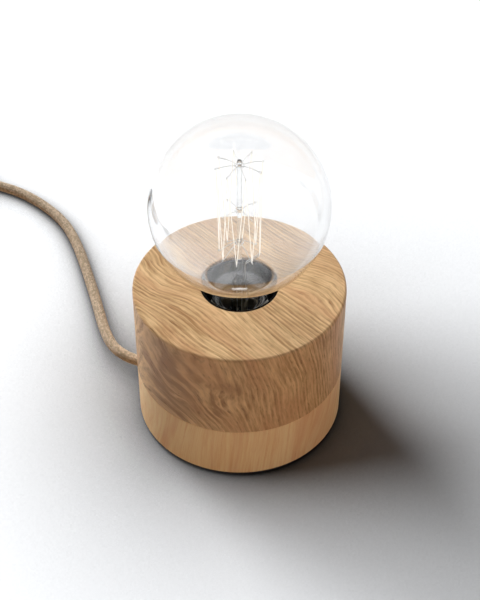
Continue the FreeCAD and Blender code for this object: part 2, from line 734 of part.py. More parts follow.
# ---- bulb -----------------------------------------------------------------------------------------------
def glass_side(inset):
    """Globe, blend and neck as one line from the top down, inset by the glass's thickness or by 0.

    Returns its start and its lines and arcs, ending at the neck's lower end."""
    ball, blend, neck = GLOBE_R - inset, NECK_BLEND_R + inset, NECK_R - inset
    narrow, foot = CAP_NECK_R - inset, CAP_TOP + NECK_FOOT
    blend_z = GLOBE_Z - math.sqrt((ball + blend) ** 2 - (neck + blend) ** 2)
    share = ball / (ball + blend)
    meet = Vector((neck + blend) * share, 0, GLOBE_Z + (blend_z - GLOBE_Z) * share)
    side = math.atan2(meet.z - GLOBE_Z, meet.x)
    waist = (math.pi / 2 + side) / 2
    toward = math.atan2(meet.z - blend_z, meet.x - neck - blend)
    bend = (toward + math.pi) / 2
    return Vector(0, 0, GLOBE_Z + ball), [
        (Vector(ball * math.cos(waist), 0, GLOBE_Z + ball * math.sin(waist)), meet),
        (Vector(neck + blend + blend * math.cos(bend), 0, blend_z + blend * math.sin(bend)),
         Vector(neck, 0, blend_z)),
        (Vector(neck, 0, foot),),
        (Vector(narrow, 0, CAP_TOP),),
        (Vector(narrow, 0, CAP_TOP - CAP_NECK_L),),
    ]


def glass_globe():
    top, outer = glass_side(0)
    inner_top, inner = glass_side(GLASS_T)
    edges = chain(top, outer) + chain(inner_top, inner)
    edges.append(Part.LineSegment(outer[-1][-1], inner[-1][-1]).toShape())
    edges.append(Part.LineSegment(top, inner_top).toShape())
    profile = Part.Wire(Part.__sortEdges__(edges))
    return Part.Face(profile).revolve(Vector(), UP, 360)


def glass_stem():
    """Flared foot sealed into the neck, a hollow tube, a solid press and its narrow tip."""
    low = CAP_TOP - CAP_NECK_L
    wide = CAP_NECK_R - GLASS_T - SKIN
    return turned([
        (wide, low), (STEM_R, low + FLARE_H), (STEM_R, STEM_SHOULDER_Z),
        (STEM_TIP_R, STEM_SHOULDER_Z), (STEM_TIP_R, STEM_TIP_Z), (0, STEM_TIP_Z),
        (0, STEM_HOLLOW_Z), (STEM_R - STEM_WALL, STEM_HOLLOW_Z - STEM_CONE),
        (STEM_R - STEM_WALL, low + FLARE_H), (wide - STEM_WALL, low),
    ])


def bead(z):
    low, high, edge = z - BEAD_H / 2, z + BEAD_H / 2, BEAD_EDGE
    return turned([
        (ROD_R + SKIN, low), (BEAD_R - edge, low), (BEAD_R, low + edge),
        (BEAD_R, high - edge), (BEAD_R - edge, high), (ROD_R + SKIN, high),
    ])


def hook(bead_z, end_r, end_z):
    """Support wire from a bead outwards, bowed up halfway."""
    start = Vector(BEAD_R + HOOK_WIRE_R, 0, bead_z)
    end = Vector(end_r - HOOK_SHORT, 0, end_z)
    crest = (start + end) / 2 + UP * HOOK_BOW
    return wire([start, crest, end], HOOK_WIRE_R, end_r / 2)


def cage_azimuths(shift):
    return [CAGE_AZIMUTH + shift + STRAND_STEP * i for i in range(CAGE_N)]


def strand_corners():
    """The filament's corners: up to a top hook and down to a foot hook, once round the cage."""
    first = CAGE_AZIMUTH - STRAND_STEP / 2
    corners = [polar(CAGE_FOOT_R, first + LEAD_SPREAD, CAGE_FOOT_Z)]
    for azimuth in cage_azimuths(0):
        corners.append(polar(CAGE_TOP_R, azimuth, CAGE_TOP_Z))
        corners.append(polar(CAGE_FOOT_R, azimuth + STRAND_STEP / 2, CAGE_FOOT_Z))
    corners[-1] = polar(CAGE_FOOT_R, first - LEAD_SPREAD, CAGE_FOOT_Z)
    return corners


def filament():
    corners = strand_corners()
    strands = [rod(FILAMENT_R, a, b) for a, b in zip(corners, corners[1:])]
    turns = [Part.makeSphere(FILAMENT_R, c) for c in corners]
    return strands[0].fuse(strands[1:] + turns)


def lead(side):
    """Support lead from the press's shoulder out to one end of the filament."""
    azimuth = CAGE_AZIMUTH - STRAND_STEP / 2 + side * LEAD_SPREAD
    spread = CAGE_AZIMUTH - STRAND_STEP / 2 + side * LEAD_FOOT_SPREAD
    foot = polar(LEAD_CIRCLE_R, spread, STEM_SHOULDER_Z)
    knee = polar(LEAD_CIRCLE_R, spread, STEM_TIP_Z - LEAD_KNEE_DROP)
    drop = FILAMENT_R + LEAD_R + SKIN
    end = polar(CAGE_FOOT_R, azimuth, CAGE_FOOT_Z - drop)
    return wire([foot, knee, end], LEAD_R, LEAD_BEND)


def lead_out():
    """Two wires inside the stem: one down to the end contact, one out to the cap's wall."""
    top = STEM_HOLLOW_Z - STEM_CONE - SLIP
    floor = CAP_FOOT_Z + CAP_CURL + SLIP + INSULATOR_FLANGE_T + LEAD_R
    inner = CAP_BORE_R - LEAD_R - SKIN
    return group([
        rod(LEAD_R, Vector(LEAD_OUT_X, 0, floor), Vector(LEAD_OUT_X, 0, top)),
        wire([Vector(-LEAD_OUT_X, 0, top), Vector(-LEAD_OUT_X, 0, floor + LEAD_R),
              Vector(-inner, 0, floor + LEAD_R)], LEAD_R, LEAD_OUT_BEND),
    ])


def screw_cap():
    foot, curl = CAP_FOOT_Z, CAP_CURL
    inner_collar = COLLAR_R - CAP_WALL
    body = turned([
        (CAP_FOOT_R, foot), (CAP_R - CAP_CORNER, foot), (CAP_R, foot + CAP_CORNER),
        (CAP_R, THREAD_TOP), (COLLAR_R, COLLAR_Z), (COLLAR_R, CAP_TOP), (inner_collar, CAP_TOP),
        (inner_collar, COLLAR_Z), (CAP_BORE_R, THREAD_TOP), (CAP_BORE_R, foot + curl + CAP_CORNER),
        (CAP_BORE_R - CAP_CORNER, foot + curl), (CAP_FOOT_R, foot + curl),
    ])
    return body.fuse(ridge(CAP_R - RIDGE_ROOTED, MALE_CREST_R, CONTACT_Z + MALE_START, MALE_TURNS))


def cap_insulator():
    low = CONTACT_Z + CONTACT_T + SLIP
    hole, side = CONTACT_STUB_R + SLIP, CAP_FOOT_R - SLIP
    flange, wide = CAP_FOOT_Z + CAP_CURL + SLIP, CAP_BORE_R - INSULATOR_INSET
    slant = flange + CAP_CORNER
    return turned([
        (hole, low), (INSULATOR_FOOT_R, low), (side, CAP_FOOT_Z - INSULATOR_EDGE), (side, flange),
        (wide - CAP_CORNER, flange), (wide, slant), (wide, flange + INSULATOR_FLANGE_T),
        (hole, flange + INSULATOR_FLANGE_T),
    ])


def cap_contact():
    base = CONTACT_Z + CONTACT_T
    return turned([
        (0, CONTACT_Z), (CONTACT_R - CONTACT_CONE, CONTACT_Z), (CONTACT_R, CONTACT_Z + CONTACT_T / 2),
        (CONTACT_R, base),
        (CONTACT_STUB_R, base), (CONTACT_STUB_R, base + CONTACT_STUB_L), (0, base + CONTACT_STUB_L),
    ])


def build_bulb():
    save("glass_globe", glass_globe())
    save("glass_stem", glass_stem())
    save("glass_rod", cylinder(ROD_R, STEM_TIP_Z, ROD_TOP_Z))
    save("glass_beads", group(bead(z) for z in (CAGE_TOP_Z, MIDDLE_Z, FOOT_BEAD_Z)))
    save("top_hooks", group(around(
        cage_azimuths(0), lambda: hook(CAGE_TOP_Z, CAGE_TOP_R, CAGE_TOP_Z))))
    middle = [MIDDLE_AZIMUTH + 360.0 / MIDDLE_N * i for i in range(MIDDLE_N)]
    save("middle_hooks", group(around(
        middle, lambda: hook(MIDDLE_Z, MIDDLE_R, MIDDLE_Z))))
    feet = cage_azimuths(STRAND_STEP / 2)[:-1]
    save("foot_hooks", group(around(
        feet, lambda: hook(FOOT_BEAD_Z, CAGE_FOOT_R, CAGE_FOOT_Z + FILAMENT_R + HOOK_WIRE_R))))
    save("filament", filament())
    save("filament_leads", group(lead(side) for side in (-1, 1)))
    save("lead_out_wires", lead_out())
    save("screw_cap", screw_cap())
    save("cap_insulator", cap_insulator())
    save("cap_contact", cap_contact())
    save("cap_cement", turned([
        (CAP_NECK_R + SKIN, THREAD_TOP - CEMENT_L), (CAP_BORE_R - SKIN, THREAD_TOP - CEMENT_L),
        (CAP_BORE_R - SKIN, THREAD_TOP), (CAP_NECK_R + SKIN, THREAD_TOP),
    ]))


# ---- cord ---------------------------------------------------------------------------------------------
# The lamp's stretch: points chosen along its curve over the table, after the two that run straight out
# of the grommet.
LAMP_LEAD = 8.0
LAMP_ROUTE = [
    (-70.2, 27.2, 9.8), (-75.9, 33.9, 9.0), (-79.9, 43.0, 7.7), (-83.8, 55.2, 5.6),
    (-87.9, 71.8, 4.0), (-94.0, 93.7, CORD_R), (-102.6, 122.2, CORD_R), (-109.1, 139.8, CORD_R),
    (-117.6, 157.2, CORD_R), (-134.0, 175.8, CORD_R), (-151.8, 189.4, CORD_R),
    (-170.6, 197.4, CORD_R), (-193.2, 203.4, SWITCH_SPLIT), (-204.8, 206.5, SWITCH_SPLIT),
]
# From the switch round to the coil, after the two points that run straight out of the switch.
SUPPLY_ROUTE = [
    (-303.5, 222.6, 5.4), (-321.1, 205.6, CORD_R), (-328.9, 182.7, CORD_R),
    (-329.7, 160.7, CORD_R), (-329.7, 140.7, CORD_R),
]
SUPPLY_LEAD = 19.0
# From the coil's upper end to the plug, after the point where the coil ends.
PLUG_LEAD = 16.0
PLUG_ROUTE = [
    (-331.5, 90.0, 5.4), (-334.3, 69.5, 4.0), (-335.0, 49.5, PLUG_H / 2), (-335.0, 34.0, PLUG_H / 2),
]


def heading(a, b):
    """Azimuth in degrees of the step from a to b."""
    return math.degrees(math.atan2(b.y - a.y, b.x - a.x))


def cord_tube(name, points):
    """A free stretch of cord, with its radii and the check of its volume printed."""
    edges, radii, length = bent(points)
    shape = tube(edges, CORD_R)
    ideal = math.pi * CORD_R**2 * length
    print(name, "length", round(length, 1), "radii", [round(r, 1) for r in radii],
          "volume over section x length", round(shape.Volume / ideal, 5))
    save(name, shape)
    return length


def lamp_points():
    straight = [polar(GLAND_FACE + lead, EXIT_AZIMUTH, EXIT_Z) for lead in (0, LAMP_LEAD)]
    return straight + [Vector(*p) for p in LAMP_ROUTE]


def switch_place():
    """The switch's near end, and its direction along the cord."""
    before, end = lamp_points()[-2:]
    return end, heading(before, end)


def supply_points():
    start, azimuth = switch_place()
    along = polar(1, azimuth, 0)
    out = start + along * SWITCH_L
    return [out, out + along * SUPPLY_LEAD] + [Vector(*p) for p in SUPPLY_ROUTE]


def biarc(start, start_way, end, end_way):
    """Two tangent arcs from start to end that leave and arrive in the given unit directions."""
    span, ways = end - start, start_way + end_way
    spare = 2 - 2 * start_way.dot(end_way)
    reach = (math.sqrt(span.dot(ways) ** 2 + spare * span.dot(span)) - span.dot(ways)) / spare
    knee, knee_2 = start + start_way * reach, end - end_way * reach
    join = (knee + knee_2) / 2
    edges = []
    for a, corner, b in ((start, knee, join), (join, knee_2, end)):
        come, go = (corner - a).normalize(), (b - corner).normalize()
        half = come.getAngle(go) / 2
        bend = reach / math.tan(half)
        middle = corner + (go - come).normalize() * (bend / math.cos(half) - bend)
        edges.append(Part.Arc(a, middle, b).toShape())
    return edges


def coil_edges():
    """The coil's centre line: a straight lead, a layer wound inwards, a half turn that climbs, and a
    layer wound outwards on it, ending above where it began."""
    pitch = 2 * CORD_R + COIL_TURN_GAP
    rise = 2 * CORD_R + COIL_LAYER_GAP
    halves = 2 * COIL_TURNS
    down = Vector(0, -1, 0)
    radii = [COIL_MEAN_R + (COIL_TURNS / 2 - i / 2) * pitch for i in range(halves + 1)]
    radii += radii[-2:0:-1]
    face = supply_points()[-1]
    here = face + down * (2 * CORD_R)
    edges = [Part.LineSegment(face, here).toShape()]
    way, side = down, Vector(1, 0, 0)
    for i, radius in enumerate(radii):
        end = here + side * (2 * radius) + (UP * rise if i == halves else Vector())
        edges += biarc(here, way, end, way * -1)
        here, way, side = end, way * -1, side * -1
    edges.append(Part.LineSegment(here, here + way * (2 * CORD_R)).toShape())
    return edges


def least_gap(edges):
    """Least gap between the coil's turns, measured on points of its centre line."""
    points = []
    for edge in edges:
        points += edge.discretize(Number=max(3, int(edge.Length / COIL_STEP)))[:-1]
    apart = int(math.pi * COIL_MEAN_R / 2 / COIL_STEP)
    least = min(
        a.distanceToPoint(b) for i, a in enumerate(points) for b in points[i + apart:]
    )
    return least - 2 * CORD_R


def plug_points(coil_end):
    down = Vector(0, -1, 0)
    return [coil_end, coil_end + down * PLUG_LEAD] + [Vector(*p) for p in PLUG_ROUTE]


def build_cord():
    total = cord_tube("lamp_cord", lamp_points())
    total += cord_tube("supply_cord", supply_points())
    edges = coil_edges()
    coil = tube(edges, CORD_R)
    length = sum(e.Length for e in edges)
    print("cord_coil length", round(length, 1), "least gap to itself", round(least_gap(edges), 3),
          "volume over section x length", round(coil.Volume / (math.pi * CORD_R**2 * length), 5))
    save("cord_coil", coil)
    last = edges[-1]
    coil_end = last.valueAt(last.LastParameter)
    total += length + cord_tube("plug_cord", plug_points(coil_end))
    print("cord in all", round(total, 1), "and the switch", SWITCH_L)
    return coil_end


# ---- switch -------------------------------------------------------------------------------------------
def at_switch(shape):
    """Moves a piece made along +X from the origin to the switch's place on the cord."""
    place, azimuth = switch_place()
    shape.rotate(Vector(), UP, azimuth)
    shape.translate(Vector(place.x, place.y, 0))
    return shape


def rounded_slab(long, wide, low, high, corner, middle=None):
    """Slab with rounded upright corners, centred across; it starts at x = 0 unless given a middle."""
    start = 0 if middle is None else middle - long / 2
    slab = block(Vector(start, -wide / 2, low), Vector(start + long, wide / 2, high))
    upright = [e for e in slab.Edges if e.BoundBox.ZLength > high - low - TINY]
    return slab.makeFillet(corner, upright)


def level_edges(shape, z):
    return [e for e in shape.Edges if max(abs(e.BoundBox.ZMin - z), abs(e.BoundBox.ZMax - z)) < TINY]


def cord_way():
    """The cord's bore through both ends of the switch."""
    near, far = -OVERRUN, SWITCH_L + OVERRUN
    return rod(CORD_R + SLIP, Vector(near, 0, SWITCH_SPLIT), Vector(far, 0, SWITCH_SPLIT))


def post_places():
    mid = SWITCH_L / 2
    side = SWITCH_W / 2 - SWITCH_WALL - POST_R + POST_SET
    return [Vector(mid - SWITCH_SCREW_AT, -side, 0), Vector(mid + SWITCH_SCREW_AT, side, 0)]


def hollow(low, high):
    return rounded_slab(SWITCH_L - 2 * SWITCH_WALL, SWITCH_W - 2 * SWITCH_WALL, low, high,
                        SWITCH_CORNER_R - SWITCH_WALL, SWITCH_L / 2)


def switch_base():
    body = rounded_slab(SWITCH_L, SWITCH_W, 0, SWITCH_SPLIT, SWITCH_CORNER_R)
    body = body.makeChamfer(SWITCH_FOOT_CHAMFER, level_edges(body, 0))
    body = body.cut(hollow(SWITCH_WALL, SWITCH_SPLIT))
    body = body.fuse([cylinder(POST_R, SWITCH_WALL, SWITCH_SPLIT, at) for at in post_places()])
    return body.cut([cord_way()] + [
        sunk_hole(SWITCH_SCREW_R, SWITCH_SCREW_HEAD_R, SWITCH_SPLIT, at) for at in post_places()
    ])


def switch_top():
    roof = SWITCH_H - SWITCH_WALL
    body = rounded_slab(SWITCH_L, SWITCH_W, SWITCH_SPLIT, SWITCH_H, SWITCH_CORNER_R)
    body = body.makeFillet(SWITCH_EDGE_R, level_edges(body, SWITCH_H))
    body = body.cut(hollow(SWITCH_SPLIT, roof))
    body = body.fuse([cylinder(POST_R, SWITCH_SPLIT, roof, at) for at in post_places()])
    mid, half_l, half_w = SWITCH_L / 2, ROCKER_L / 2 + ROCKER_GAP, ROCKER_W / 2 + ROCKER_GAP
    window = block(Vector(mid - half_l, -half_w, roof - OVERRUN), Vector(mid + half_l, half_w, SWITCH_H))
    lug_w = SWITCH_W / 2 - SWITCH_WALL - half_w
    axle_z = axle_height()
    lug = ROCKER_AXLE_R + LUG_WALL
    lugs = [
        block(Vector(mid - lug, low, axle_z - lug), Vector(mid + lug, low + lug_w, roof))
        for low in (half_w, -half_w - lug_w)
    ]
    axle_hole = rod(ROCKER_AXLE_R + SLIP / 2, Vector(mid, -axle_half() - SLIP, axle_z),
                    Vector(mid, axle_half() + SLIP, axle_z))
    screws = [
        cylinder(SWITCH_SCREW_R + SLIP, SWITCH_SPLIT, SWITCH_SCREW_L + PILOT_SPARE, at)
        for at in post_places()
    ]
    return body.fuse(lugs).cut([window, cord_way(), axle_hole] + screws)


def axle_half():
    """Half the rocker axle's length: it reaches into both lugs."""
    return ROCKER_W / 2 + ROCKER_GAP + ROCKER_AXLE_GRIP


def tilted(shape):
    """Tilts a piece made level about the rocker's axle to the off position, and moves it to the middle."""
    shape.rotate(Vector(0, 0, axle_height()), Vector(0, 1, 0), -ROCKER_TILT)
    shape.translate(Vector(SWITCH_L / 2, 0, 0))
    return shape


def axle_height():
    return SWITCH_H - ROCKER_AXLE_DROP


def rocker():
    """Rocker with a dished top and ends that lean in, bored for its axle."""
    half_l, half_w, mid = ROCKER_L / 2, ROCKER_W / 2, axle_height()
    crown, low = mid + ROCKER_MIDDLE, mid - ROCKER_DEPTH
    tip, end = half_l - ROCKER_TAPER, crown + ROCKER_DISH
    side = chain(Vector(-tip, -half_w, low), [
        (Vector(tip, -half_w, low),),
        (Vector(half_l, -half_w, mid),),
        (Vector(tip, -half_w, end),),
        (Vector(0, -half_w, crown), Vector(-tip, -half_w, end)),
        (Vector(-half_l, -half_w, mid),),
        (Vector(-tip, -half_w, low),),
    ])
    body = Part.Face(Part.Wire(side)).extrude(Vector(0, ROCKER_W, 0))
    bore = rod(ROCKER_AXLE_R + SLIP / 2, Vector(0, -ROCKER_W, mid), Vector(0, ROCKER_W, mid))
    return tilted(body.cut(bore))


def rocker_bridge():
    """Metal strip under the rocker that closes onto a contact."""
    long, wide, thick = BRIDGE
    low = axle_height() - ROCKER_DEPTH
    return tilted(block(Vector(-long / 2, -wide / 2, low - thick), Vector(long / 2, wide / 2, low)))


def bridge_reach():
    """Height of the bridge's lowest corner at either end of the rocker's travel, over a contact."""
    turn = math.radians(ROCKER_TILT)
    under = ROCKER_DEPTH + BRIDGE[2]
    return axle_height() - under * math.cos(turn) - BRIDGE[0] / 2 * math.sin(turn)


def contact_strips():
    """Two bent strips: each has a foot on the switch's floor and an upright under the bridge."""
    strips = []
    for s in (-1, 1):
        near = s * STRIP_OFF
        feet = sorted((near, near + s * STRIP_L))
        post = sorted((near, near + s * STRIP_T))
        foot = block(Vector(feet[0], -STRIP_W / 2, SWITCH_WALL),
                     Vector(feet[1], STRIP_W / 2, SWITCH_WALL + STRIP_T))
        upright = block(Vector(post[0], -STRIP_W / 2, SWITCH_WALL),
                        Vector(post[1], STRIP_W / 2, bridge_reach() - BRIDGE_GAP))
        strip = foot.fuse(upright)
        strip.translate(Vector(SWITCH_L / 2, 0, 0))
        strips.append(strip)
    return group(strips)


def switch_cores():
    """One core straight through beside the contacts, and one from each cord end onto a contact."""
    near, far, up = STUB_L, SWITCH_L - STUB_L, SWITCH_SPLIT
    side, drop = CORE_SPACING / 2, SWITCH_WALL + STRIP_T + SWITCH_CORE_R
    lead, run = SWITCH_CORE_LEAD, SWITCH_CORE_LEAD + STUB_L / 2
    through = [
        Vector(near, side, up), Vector(near + lead, side, up),
        Vector(near + run, SWITCH_CORE_SIDE, drop), Vector(far - run, SWITCH_CORE_SIDE, drop),
        Vector(far - lead, side, up), Vector(far, side, up),
    ]
    paths = [through]
    for x, way in ((near, 1), (far, -1)):
        onto = SWITCH_L / 2 - way * (STRIP_OFF + STRIP_L / 2)
        paths.append([
            Vector(x, -side, up), Vector(x + way * lead, -side, up),
            Vector(x + way * run, -side, drop), Vector(onto, -side, drop),
        ])
    return group(wire(path, SWITCH_CORE_R, SWITCH_CORE_BEND) for path in paths)


def build_switch():
    save("switch_base", at_switch(switch_base()))
    save("switch_top", at_switch(switch_top()))
    save("switch_rocker", at_switch(rocker()))
    mid, axle_z = SWITCH_L / 2, axle_height()
    save("rocker_bridge", at_switch(rocker_bridge()))
    save("rocker_axle", at_switch(rod(
        ROCKER_AXLE_R, Vector(mid, -axle_half(), axle_z), Vector(mid, axle_half(), axle_z))))
    save("switch_contacts", at_switch(contact_strips()))
    save("switch_cores", at_switch(switch_cores()))
    save("switch_screws", at_switch(group(
        countersunk(SWITCH_SCREW_R, SWITCH_SCREW_HEAD_R, SWITCH_SCREW_L, at)
        for at in post_places()
    )))
    save("switch_cord_ends", at_switch(group([
        rod(CORD_R, Vector(0, 0, SWITCH_SPLIT), Vector(STUB_L, 0, SWITCH_SPLIT)),
        rod(CORD_R, Vector(SWITCH_L - STUB_L, 0, SWITCH_SPLIT), Vector(SWITCH_L, 0, SWITCH_SPLIT)),
    ])))
    place, azimuth = switch_place()
    axle = place + polar(mid, azimuth, 0)
    print("rocker axle at", round(axle.x, 3), round(axle.y, 3), round(axle_z, 3), "azimuth", azimuth)


# ---- plug ---------------------------------------------------------------------------------------------
def at_plug(shape, coil_end):
    """Moves a piece made along +X from the origin to the cord's far end."""
    before, end = plug_points(coil_end)[-2:]
    shape.rotate(Vector(), UP, heading(before, end))
    shape.translate(end)
    return shape


def plug_relief():
    """Tapered strain relief with grooves round it."""
    outline = [(0, 0), (RELIEF_END_R, 0)]
    for i in range(1, RELIEF_GROOVES + 1):
        share = i / (RELIEF_GROOVES + 1)
        x, r = RELIEF_L * share, RELIEF_END_R + (RELIEF_R - RELIEF_END_R) * share
        foot = r - GROOVE_DEPTH
        outline += [(r, x - GROOVE_MOUTH), (foot, x - GROOVE_FOOT)]
        outline += [(foot, x + GROOVE_FOOT), (r, x + GROOVE_MOUTH)]
    outline += [(RELIEF_R, RELIEF_L), (0, RELIEF_L)]
    shape = turned(outline)
    shape.rotate(Vector(), Vector(0, 1, 0), 90)
    return shape


def pin_ways(radius, near, far):
    return [
        rod(radius, Vector(near, s * PIN_SPACING / 2, 0), Vector(far, s * PIN_SPACING / 2, 0))
        for s in (-1, 1)
    ]


def plug_body():
    """Flat body, waisted for the fingers, with an insulating sleeve round each pin's root."""
    start, end = RELIEF_L, RELIEF_L + PLUG_L
    waist, nose, half = PLUG_WAIST_W / 2, PLUG_NOSE_W / 2 + PLUG_CORNER, PLUG_W / 2
    mid_x, wide_x, bulge = start + PLUG_WAIST_L, start + PLUG_GRIP_L, waist + PLUG_WAIST_IN
    low = -PLUG_H / 2
    outline = chain(Vector(start, -waist, low), [
        (Vector(mid_x, -bulge, low), Vector(wide_x, -half, low)),
        (Vector(end - PLUG_CORNER, -half, low),),
        (Vector(end, -nose, low),),
        (Vector(end, nose, low),),
        (Vector(end - PLUG_CORNER, half, low),),
        (Vector(wide_x, half, low),),
        (Vector(mid_x, bulge, low), Vector(start, waist, low)),
        (Vector(start, -waist, low),),
    ])
    body = Part.Face(Part.Wire(outline)).extrude(Vector(0, 0, PLUG_H))
    body = body.makeChamfer(PLUG_TOP_CHAMFER, level_edges(body, -low))
    body = body.makeChamfer(PLUG_FOOT_CHAMFER, level_edges(body, low))
    sleeve_end = end + PIN_L - PIN_BARE
    body = body.fuse(pin_ways(SLEEVE_R, end - OVERRUN, sleeve_end))
    return body.cut(pin_ways(PIN_NECK_R + SKIN, end - PIN_ROOT, sleeve_end + OVERRUN))


def plug_pins():
    end = RELIEF_L + PLUG_L
    tip = end + PIN_L
    pins = []
    for neck, bare in zip(pin_ways(PIN_NECK_R, end - PIN_ROOT, tip - PIN_BARE),
                          pin_ways(PIN_R, tip - PIN_BARE, tip)):
        pin = neck.fuse(bare)
        nose = [e for e in pin.Edges if e.BoundBox.XMin > tip - TINY]
        pins.append(pin.makeChamfer(PIN_CHAMFER, nose))
    return group(pins)


def build_plug(coil_end):
    save("plug_relief", at_plug(plug_relief(), coil_end))
    save("plug_body", at_plug(plug_body(), coil_end))
    save("plug_pins", at_plug(plug_pins(), coil_end))


os.makedirs("parts", exist_ok=True)
build_base()
build_wiring()
build_holder()
build_bulb()
far_end = build_cord()
build_switch()
build_plug(far_end)
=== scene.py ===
import math

import bpy
import numpy as np
from mathutils import Matrix, Vector


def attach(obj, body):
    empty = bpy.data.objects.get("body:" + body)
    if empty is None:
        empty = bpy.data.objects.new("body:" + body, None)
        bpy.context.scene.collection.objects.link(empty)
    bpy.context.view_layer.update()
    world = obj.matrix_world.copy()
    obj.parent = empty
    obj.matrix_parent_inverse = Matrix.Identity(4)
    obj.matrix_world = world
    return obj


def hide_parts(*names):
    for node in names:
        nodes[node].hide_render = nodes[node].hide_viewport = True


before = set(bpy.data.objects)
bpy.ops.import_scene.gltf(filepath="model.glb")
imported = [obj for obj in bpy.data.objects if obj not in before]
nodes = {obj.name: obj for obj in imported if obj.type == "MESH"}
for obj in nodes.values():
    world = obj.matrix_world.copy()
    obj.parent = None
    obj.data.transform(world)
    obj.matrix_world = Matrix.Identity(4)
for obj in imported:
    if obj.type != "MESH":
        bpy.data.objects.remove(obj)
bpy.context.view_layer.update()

# Looks of the table lamp: a round base in two woods, a black lampholder sunk into it, a large clear globe
# bulb with a cage filament, and a braided cord with a rocker switch and a flat two-pin plug.
# Metres. +Z is up, and the origin is the centre of the underside.

SEED = 7
rng = np.random.default_rng(SEED)

# ---- camera -----------------------------------------------------------------------------------------
LENS_MM, SENSOR_MM = 81.31, 36.0
CAMERA_AT = Vector((0.00027, -0.53814, 0.58886))
CAMERA_TO = Vector((0.00027, 0.0, 0.07961))
NEAREST, FARTHEST = 0.01, 20.0


def make_camera():
    """The camera at the photograph's viewing angle."""
    data = bpy.data.cameras.new("camera")
    data.lens, data.sensor_width = LENS_MM, SENSOR_MM
    data.clip_start, data.clip_end = NEAREST, FARTHEST
    camera = bpy.data.objects.new("camera", data)
    camera.location = CAMERA_AT
    camera.rotation_euler = (CAMERA_TO - CAMERA_AT).to_track_quat("-Z", "Y").to_euler()
    bpy.context.scene.collection.objects.link(camera)
    bpy.context.scene.camera = camera


make_camera()

# ---- cord routes ------------------------------------------------------------------------------------
CORD_R = 0.00325
EXIT_AZIMUTH = math.radians(160.5)
EXIT_Z = 0.010
GLAND_FACE = 0.0592
LAMP_LEAD, SUPPLY_LEAD, PLUG_LEAD = 0.008, 0.019, 0.016
SWITCH_L, SWITCH_SPLIT = 0.062, 0.008
PLUG_MID = 0.00685

LAMP_ROUTE = [
    (-0.0702, 0.0272, 0.0098), (-0.0759, 0.0339, 0.0090), (-0.0799, 0.0430, 0.0077),
    (-0.0838, 0.0552, 0.0056), (-0.0879, 0.0718, 0.0040), (-0.0940, 0.0937, CORD_R),
    (-0.1026, 0.1222, CORD_R), (-0.1091, 0.1398, CORD_R), (-0.1176, 0.1572, CORD_R),
    (-0.1340, 0.1758, CORD_R), (-0.1518, 0.1894, CORD_R), (-0.1706, 0.1974, CORD_R),
    (-0.1932, 0.2034, SWITCH_SPLIT), (-0.2048, 0.2065, SWITCH_SPLIT),
]
SUPPLY_ROUTE = [
    (-0.3035, 0.2226, 0.0054), (-0.3211, 0.2056, CORD_R), (-0.3289, 0.1827, CORD_R),
    (-0.3297, 0.1607, CORD_R), (-0.3297, 0.1407, CORD_R),
]
PLUG_ROUTE = [
    (-0.3315, 0.0900, 0.0054), (-0.3343, 0.0695, 0.0040), (-0.3350, 0.0495, PLUG_MID),
    (-0.3350, 0.0340, PLUG_MID),
]
COIL_MEAN_R, COIL_PITCH, COIL_RISE = 0.0345, 0.0071, 0.00705
COIL_TURNS = 3  # in each of its two layers
HALF_TURN_POINTS = 8
LINE_STEPS = 24  # read from each span of a cord's spline


def unit(vectors):
    """Vectors over their lengths."""
    vectors = np.asarray(vectors, float)
    return vectors / np.linalg.norm(vectors, axis=-1, keepdims=True)


def smooth_step(share):
    """3 t^2 - 2 t^3, with t held between 0 and 1."""
    t = np.clip(share, 0, 1)
    return t * t * (3 - 2 * t)


def coil_points(face):
    """The coil's control points, from its face. Half turns go to alternate sides of the line they start on,
    each half a pitch smaller than the last down to the middle one, which climbs a layer, and then larger."""
    halves = 2 * COIL_TURNS
    radii = COIL_MEAN_R + (COIL_TURNS - np.arange(halves + 1)) / 2 * COIL_PITCH
    radii = np.append(radii, radii[-2:0:-1])
    turn = (np.arange(HALF_TURN_POINTS) + 0.5) * math.pi / HALF_TURN_POINTS
    x, y, z = face[0], face[1] - 2 * CORD_R, face[2]
    points = []
    for i, radius in enumerate(radii):
        side = 1 if i % 2 == 0 else -1
        out = radius / math.cos(math.pi / 2 / HALF_TURN_POINTS)
        climb = COIL_RISE * smooth_step(turn / math.pi) if i == halves else 0 * turn
        angle = math.pi * (i + 1) + turn
        points += list(np.stack([
            x + side * radius + out * np.cos(angle), y + out * np.sin(angle), z + climb
        ], axis=-1))
        x += side * 2 * radius
        if i == halves:
            z += COIL_RISE
    return points, np.array([x, y - 2 * CORD_R, z])


way_out = np.array([math.cos(EXIT_AZIMUTH), math.sin(EXIT_AZIMUTH), 0])
lamp_exit = GLAND_FACE * way_out + [0, 0, EXIT_Z]
lamp_controls = np.array([lamp_exit, lamp_exit + LAMP_LEAD * way_out, *LAMP_ROUTE])
switch_way = unit((lamp_controls[-1] - lamp_controls[-2]) * [1, 1, 0])
switch_end = lamp_controls[-1] + SWITCH_L * switch_way
coil_controls, coil_end = coil_points(SUPPLY_ROUTE[-1])
plug_lead = coil_end - [0, PLUG_LEAD, 0]
supply_controls = np.array([
    switch_end, switch_end + SUPPLY_LEAD * switch_way, *SUPPLY_ROUTE, *coil_controls, coil_end, plug_lead,
    *PLUG_ROUTE,
])


